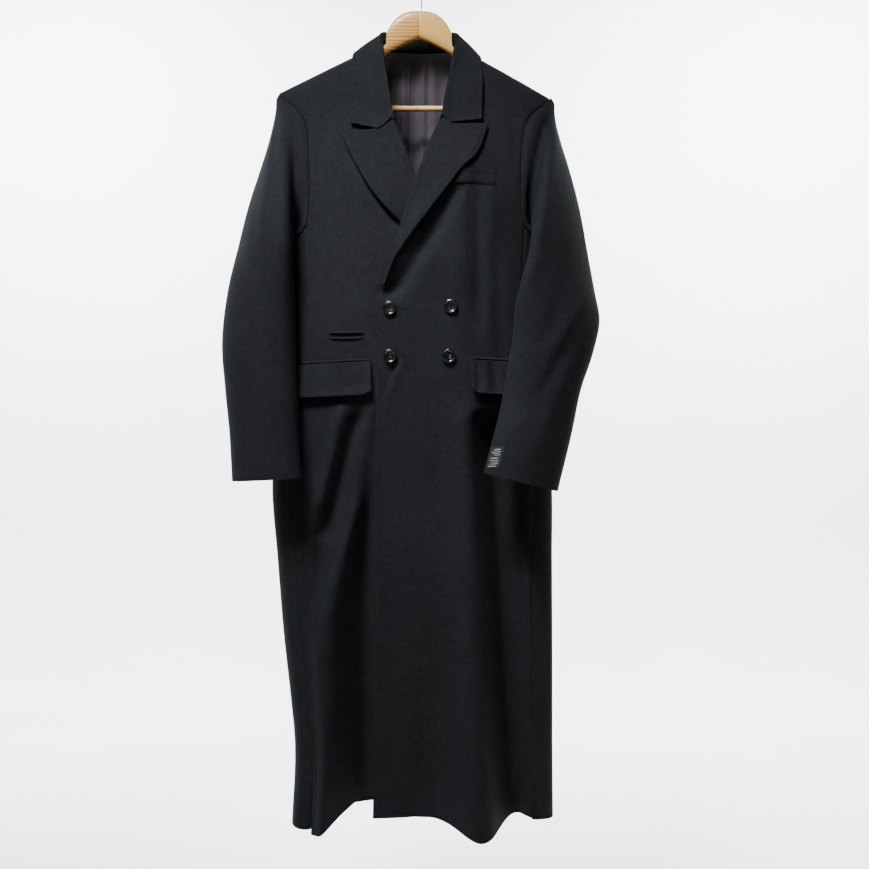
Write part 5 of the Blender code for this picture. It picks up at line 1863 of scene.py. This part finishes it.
@dataclass(frozen=True)
class HornFinish:
    """Polished dark horn: near black, with faint cloudy streaks and fine scratches."""

    name: str
    dark: tuple[float, float, float] = (0.0035, 0.0034, 0.0036)
    light: tuple[float, float, float] = (0.014, 0.012, 0.011)

    def material(self) -> Material:
        """Streak the colour, and vary the gloss with fine scratches under a clear coat."""
        graph = Graph(self.name)
        streak = graph.noise(graph.stretched(graph.place, (500.0, 300.0, 160.0), 0.5), 1.0, 4.0, 0.6)
        scratch = graph.noise(graph.stretched(graph.place, (6000.0, 600.0, 1400.0), 0.9), 1.0, 2.0, 0.7)
        graph.set(Base_Color=graph.ramp(streak, ((0.42, self.dark), (0.75, self.light))))
        graph.set(Roughness=graph.times(scratch, 0.16, 0.12), Coat_Weight=0.6, Coat_Roughness=0.08)
        graph.set(Specular_IOR_Level=0.6)
        graph.bumps(((scratch, 0.00002),))
        return graph.material


@dataclass(frozen=True)
class ThreadFinish:
    """Silk twist for the stitches and buttonholes, a shade off the cloth."""

    name: str
    colour: tuple[float, float, float] = (0.008, 0.009, 0.0105)

    def material(self) -> Material:
        """Vary the colour a little along the thread, with fine plies in the bump."""
        graph = Graph(self.name)
        plies = graph.noise(graph.place, 2600.0, 2.0)
        shade = tuple(value * 0.6 for value in self.colour)
        graph.set(Base_Color=graph.ramp(plies, ((0.35, shade), (0.65, self.colour))))
        graph.set(Roughness=0.75, Sheen_Weight=0.03, Sheen_Roughness=0.4, Specular_IOR_Level=0.08)
        graph.bumps(((plies, 0.0001),))
        return graph.material


@dataclass(frozen=True)
class TapeFinish:
    """The woven label: charcoal, with fine ribs and a few plain pale bars of several lengths."""

    name: str
    ground: tuple[float, float, float] = (0.008, 0.009, 0.01)
    rib: tuple[float, float, float] = (0.02, 0.022, 0.024)
    pale: tuple[float, float, float] = (0.34, 0.35, 0.34)
    bars: Table = metres(  # start and end across, start and end down, in metres
        (6, 17, 4, 5.6), (4, 21, 8, 8.8), (5, 18, 10.8, 11.5), (4, 14, 13.5, 14.2), (6, 20, 18, 19.2),
        (4, 21, 22, 22.7), (5, 16, 25, 25.7), (4, 19, 28, 28.7), (6, 21, 31.5, 32.7),
    )

    def material(self) -> Material:
        """Rib the ground with waves, and paint each bar where the cut lies between its ends."""
        graph = Graph(self.name)
        ribs = graph.node("TexWave", {"Vector": graph.cut, "Scale": 520.0}, bands_direction="Y").outputs[1]
        place = graph.node("SeparateXYZ", {0: graph.cut})
        grain = graph.noise(graph.stretched(graph.cut, (5000.0, 2200.0, 1.0)), 1.0, 2.0)
        paint = None
        for low_x, high_x, low_y, high_y in self.bars:
            inside = 1.0
            for along, low, high in ((place.outputs[0], low_x, high_x), (place.outputs[1], low_y, high_y)):
                inside = graph.math("MULTIPLY", inside, graph.math("GREATER_THAN", along, low))
                inside = graph.math("MULTIPLY", inside, graph.math("LESS_THAN", along, high))
            paint = inside if paint is None else graph.math("MAXIMUM", paint, inside)
        paint = graph.math("MULTIPLY", paint, graph.math("GREATER_THAN", grain, 0.42))
        ground = graph.ramp(ribs, ((0.2, self.ground), (0.9, self.rib)))
        inputs = {0: paint, 6: ground, 7: (*self.pale, 1.0)}
        colour = graph.node("Mix", inputs, data_type="RGBA").outputs[2]
        graph.set(Base_Color=colour, Roughness=0.8, Sheen_Weight=0.03, Specular_IOR_Level=0.15)
        graph.bumps(((ribs, 0.00012), (grain, 0.00004)))
        return graph.material


@dataclass(frozen=True)
class WoodFinish:
    """Varnished pale hardwood: warm tan, yellower on the wearer's left arm, with long fine grain."""

    name: str
    seam_x: float
    dark: tuple[float, float, float] = (0.5, 0.21, 0.036)
    light: tuple[float, float, float] = (0.95, 0.52, 0.12)
    yellow: tuple[float, float, float] = (0.96, 0.58, 0.15)

    def material(self) -> Material:
        """Run distorted bands along the arms for the growth rings, with short pores in them."""
        graph = Graph(self.name)
        long = graph.stretched(graph.place, (14.0, 130.0, 160.0))
        waves = {"Vector": long, "Scale": 0.35, "Distortion": 5.0, "Detail": 3.0, "Detail Scale": 1.2}
        rings = graph.node("TexWave", waves, wave_type="BANDS", bands_direction="Z").outputs[1]
        pores = graph.noise(graph.stretched(graph.place, (160.0, 2400.0, 2400.0)), 1.0, 3.0, 0.7)
        mixed = graph.times(pores, 0.45, graph.times(rings, 0.55))
        warm = graph.ramp(mixed, ((0.15, self.dark), (0.62, self.light)))
        pale = graph.ramp(mixed, ((0.1, self.light), (0.62, self.yellow)))
        x = graph.node("SeparateXYZ", {0: graph.place}).outputs[0]
        left = graph.math("GREATER_THAN", x, self.seam_x)
        colour = graph.node("Mix", {0: left, 6: warm, 7: pale}, data_type="RGBA").outputs[2]
        graph.set(Base_Color=colour, Roughness=graph.times(pores, 0.2, 0.28))
        graph.set(Coat_Weight=0.35, Coat_Roughness=0.15)
        graph.bumps(((rings, 0.0001), (pores, 0.00006)))
        return graph.material


@dataclass(frozen=True)
class WireFinish:
    """Drawn steel wire: bright, with fine lengthwise scratches and a little dullness."""

    name: str

    def material(self) -> Material:
        """Vary the roughness with scratches and the colour with a slow cloud."""
        graph = Graph(self.name)
        cloud = graph.noise(graph.place, 160.0, 3.0)
        scratch = graph.noise(graph.stretched(graph.place, (4000.0, 4000.0, 300.0)), 1.0, 2.0)
        graph.set(Base_Color=graph.ramp(cloud, ((0.3, (0.42, 0.42, 0.43)), (0.7, (0.62, 0.62, 0.63)))))
        graph.set(Metallic=1.0, Roughness=graph.times(scratch, 0.22, 0.18))
        graph.bumps(((scratch, 0.00002),))
        return graph.material


@dataclass(frozen=True)
class Studio:
    """A pale seamless floor and backdrop, soft lights and the camera where the photograph was taken from."""

    floor_z: float = -1.7
    wall_y: float = 2.8
    bend: float = 0.6
    half_width: float = 5.0
    front_y: float = -4.0
    wall_top: float = 2.4
    camera_at: tuple[float, float, float] = (0.02184, -2.0, -0.7848)
    lens: float = 49.315
    sky: tuple[float, float, float] = (0.9, 0.95, 1.0)
    sky_strength: float = 0.032
    lights: tuple[tuple[str, tuple[float, ...], tuple[float, ...], float, float, float], ...] = (
        ("key left", (-0.7, -0.95, 0.85), (-0.2, 0.0, -0.74), 0.5, 3.3, 36.0),
        ("key right", (-0.3, -0.95, 0.85), (0.2, 0.0, -0.74), 0.5, 3.3, 36.0),
        ("fill", (-0.6, -2.6, 0.4), (0.0, 0.0, -0.5), 1.6, 4.5, 180.0),
        ("wall left", (-1.6, 1.2, 0.9), (-1.2, 2.8, -0.9), 1.2, 330.0, 180.0),
        ("wall right", (1.6, 1.2, 0.9), (1.2, 2.8, -0.9), 1.2, 330.0, 180.0),
    )

    def backdrop(self) -> None:
        """Sweep the floor up into the wall through a quarter circle."""
        turn = np.linspace(0.0, math.pi / 2, 16)
        bend, height = self.bend, self.wall_top - self.floor_z
        y = np.concatenate([[self.front_y], self.wall_y - bend + bend * np.sin(turn), [self.wall_y]])
        z = np.concatenate([[0.0], bend * (1.0 - np.cos(turn)), [height]]) + self.floor_z
        x = np.array([-self.half_width, self.half_width])
        points = np.stack(np.broadcast_arrays(x[:, None], y[None, :], z[None, :]), -1)
        place = np.arange(points[..., 0].size).reshape(points.shape[:2])
        quads = np.stack([place[:-1, :-1], place[1:, :-1], place[1:, 1:], place[:-1, 1:]], -1).reshape(-1, 4)
        graph = Graph("backdrop paper")
        cloud = graph.noise(graph.place, 1.5)
        paper = graph.ramp(cloud, ((0.3, (0.8, 0.8, 0.8)), (0.7, (0.84, 0.84, 0.84))))
        graph.set(Base_Color=paper, Roughness=0.9)
        mesh_object("backdrop", points.reshape(-1, 3), [quads], graph.material)

    def light(self) -> None:
        """Hang the soft lamps, each aimed at its place, under a pale even sky."""
        for name, place, aim, size, power, spread in self.lights:
            lamp = bpy.data.lights.new(name, "AREA")
            lamp.shape = "DISK"
            lamp.size = size
            lamp.energy = power
            lamp.spread = math.radians(spread)
            made = placed(name, lamp)
            made.location = place
            made.rotation_euler = (Vector(aim) - Vector(place)).to_track_quat("-Z", "Y").to_euler()
        world = bpy.data.worlds.new("studio")
        world.use_nodes = True
        world.node_tree.nodes["Background"].inputs[0].default_value = (*self.sky, 1.0)
        world.node_tree.nodes["Background"].inputs[1].default_value = self.sky_strength
        bpy.context.scene.world = world

    def camera(self) -> None:
        """Place the camera level, in front of the coat."""
        lens = bpy.data.cameras.new("camera")
        lens.lens = self.lens
        lens.sensor_width = 36.0
        made = placed("camera", lens)
        made.location = self.camera_at
        made.rotation_euler = (math.pi / 2, 0.0, 0.0)
        bpy.context.scene.camera = made


def main() -> None:
    """Build the coat, its hanger and the studio, piece by piece."""
    logging.basicConfig(level=logging.INFO, format="%(message)s")
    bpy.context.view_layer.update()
    room = Workroom()
    form = BodyForm()
    wool = WoolFinish("coat wool").material()
    # A darker copy of the coat wool with no sheen: painted shade for the ticket pocket's slit.
    shade = WoolFinish("pocket painted shade wool", (0.002, 0.0025, 0.003), (0.004, 0.005, 0.006), 0.0).material()
    satin = SatinFinish("lining satin").material()
    horn = HornFinish("button horn").material()
    twist = ThreadFinish("silk twist").material()
    tape = TapeFinish("label tape").material()
    wood = WoodFinish("hanger wood", Hanger(form).middle_x).material()
    wire = WireFinish("hook wire").material()
    lapels = Lapels(form)
    Fronts(form).build(room, wool, lapels)
    Backs(form).build(room, wool)
    SidePanels(form).build(room, wool)
    sleeves = Sleeves(form)
    sleeves.build(room, wool)
    lapels.build(room, wool)
    Collar(form).build(room, wool)
    Pockets(form).build(room, wool, shade)
    buttons = Buttons(form)
    buttons.build(room, horn, twist)
    Needlework(form, buttons).build(room, twist)
    BackLining(form).build(room, satin)
    SleeveLabel(sleeves).build(room, tape, twist)
    Hanger(form).build(room, wood, wire)
    studio = Studio()
    studio.backdrop()
    studio.light()
    studio.camera()
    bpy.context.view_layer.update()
    LOG.info("%d pieces", len(room.made))


if __name__ == "__main__":
    main()
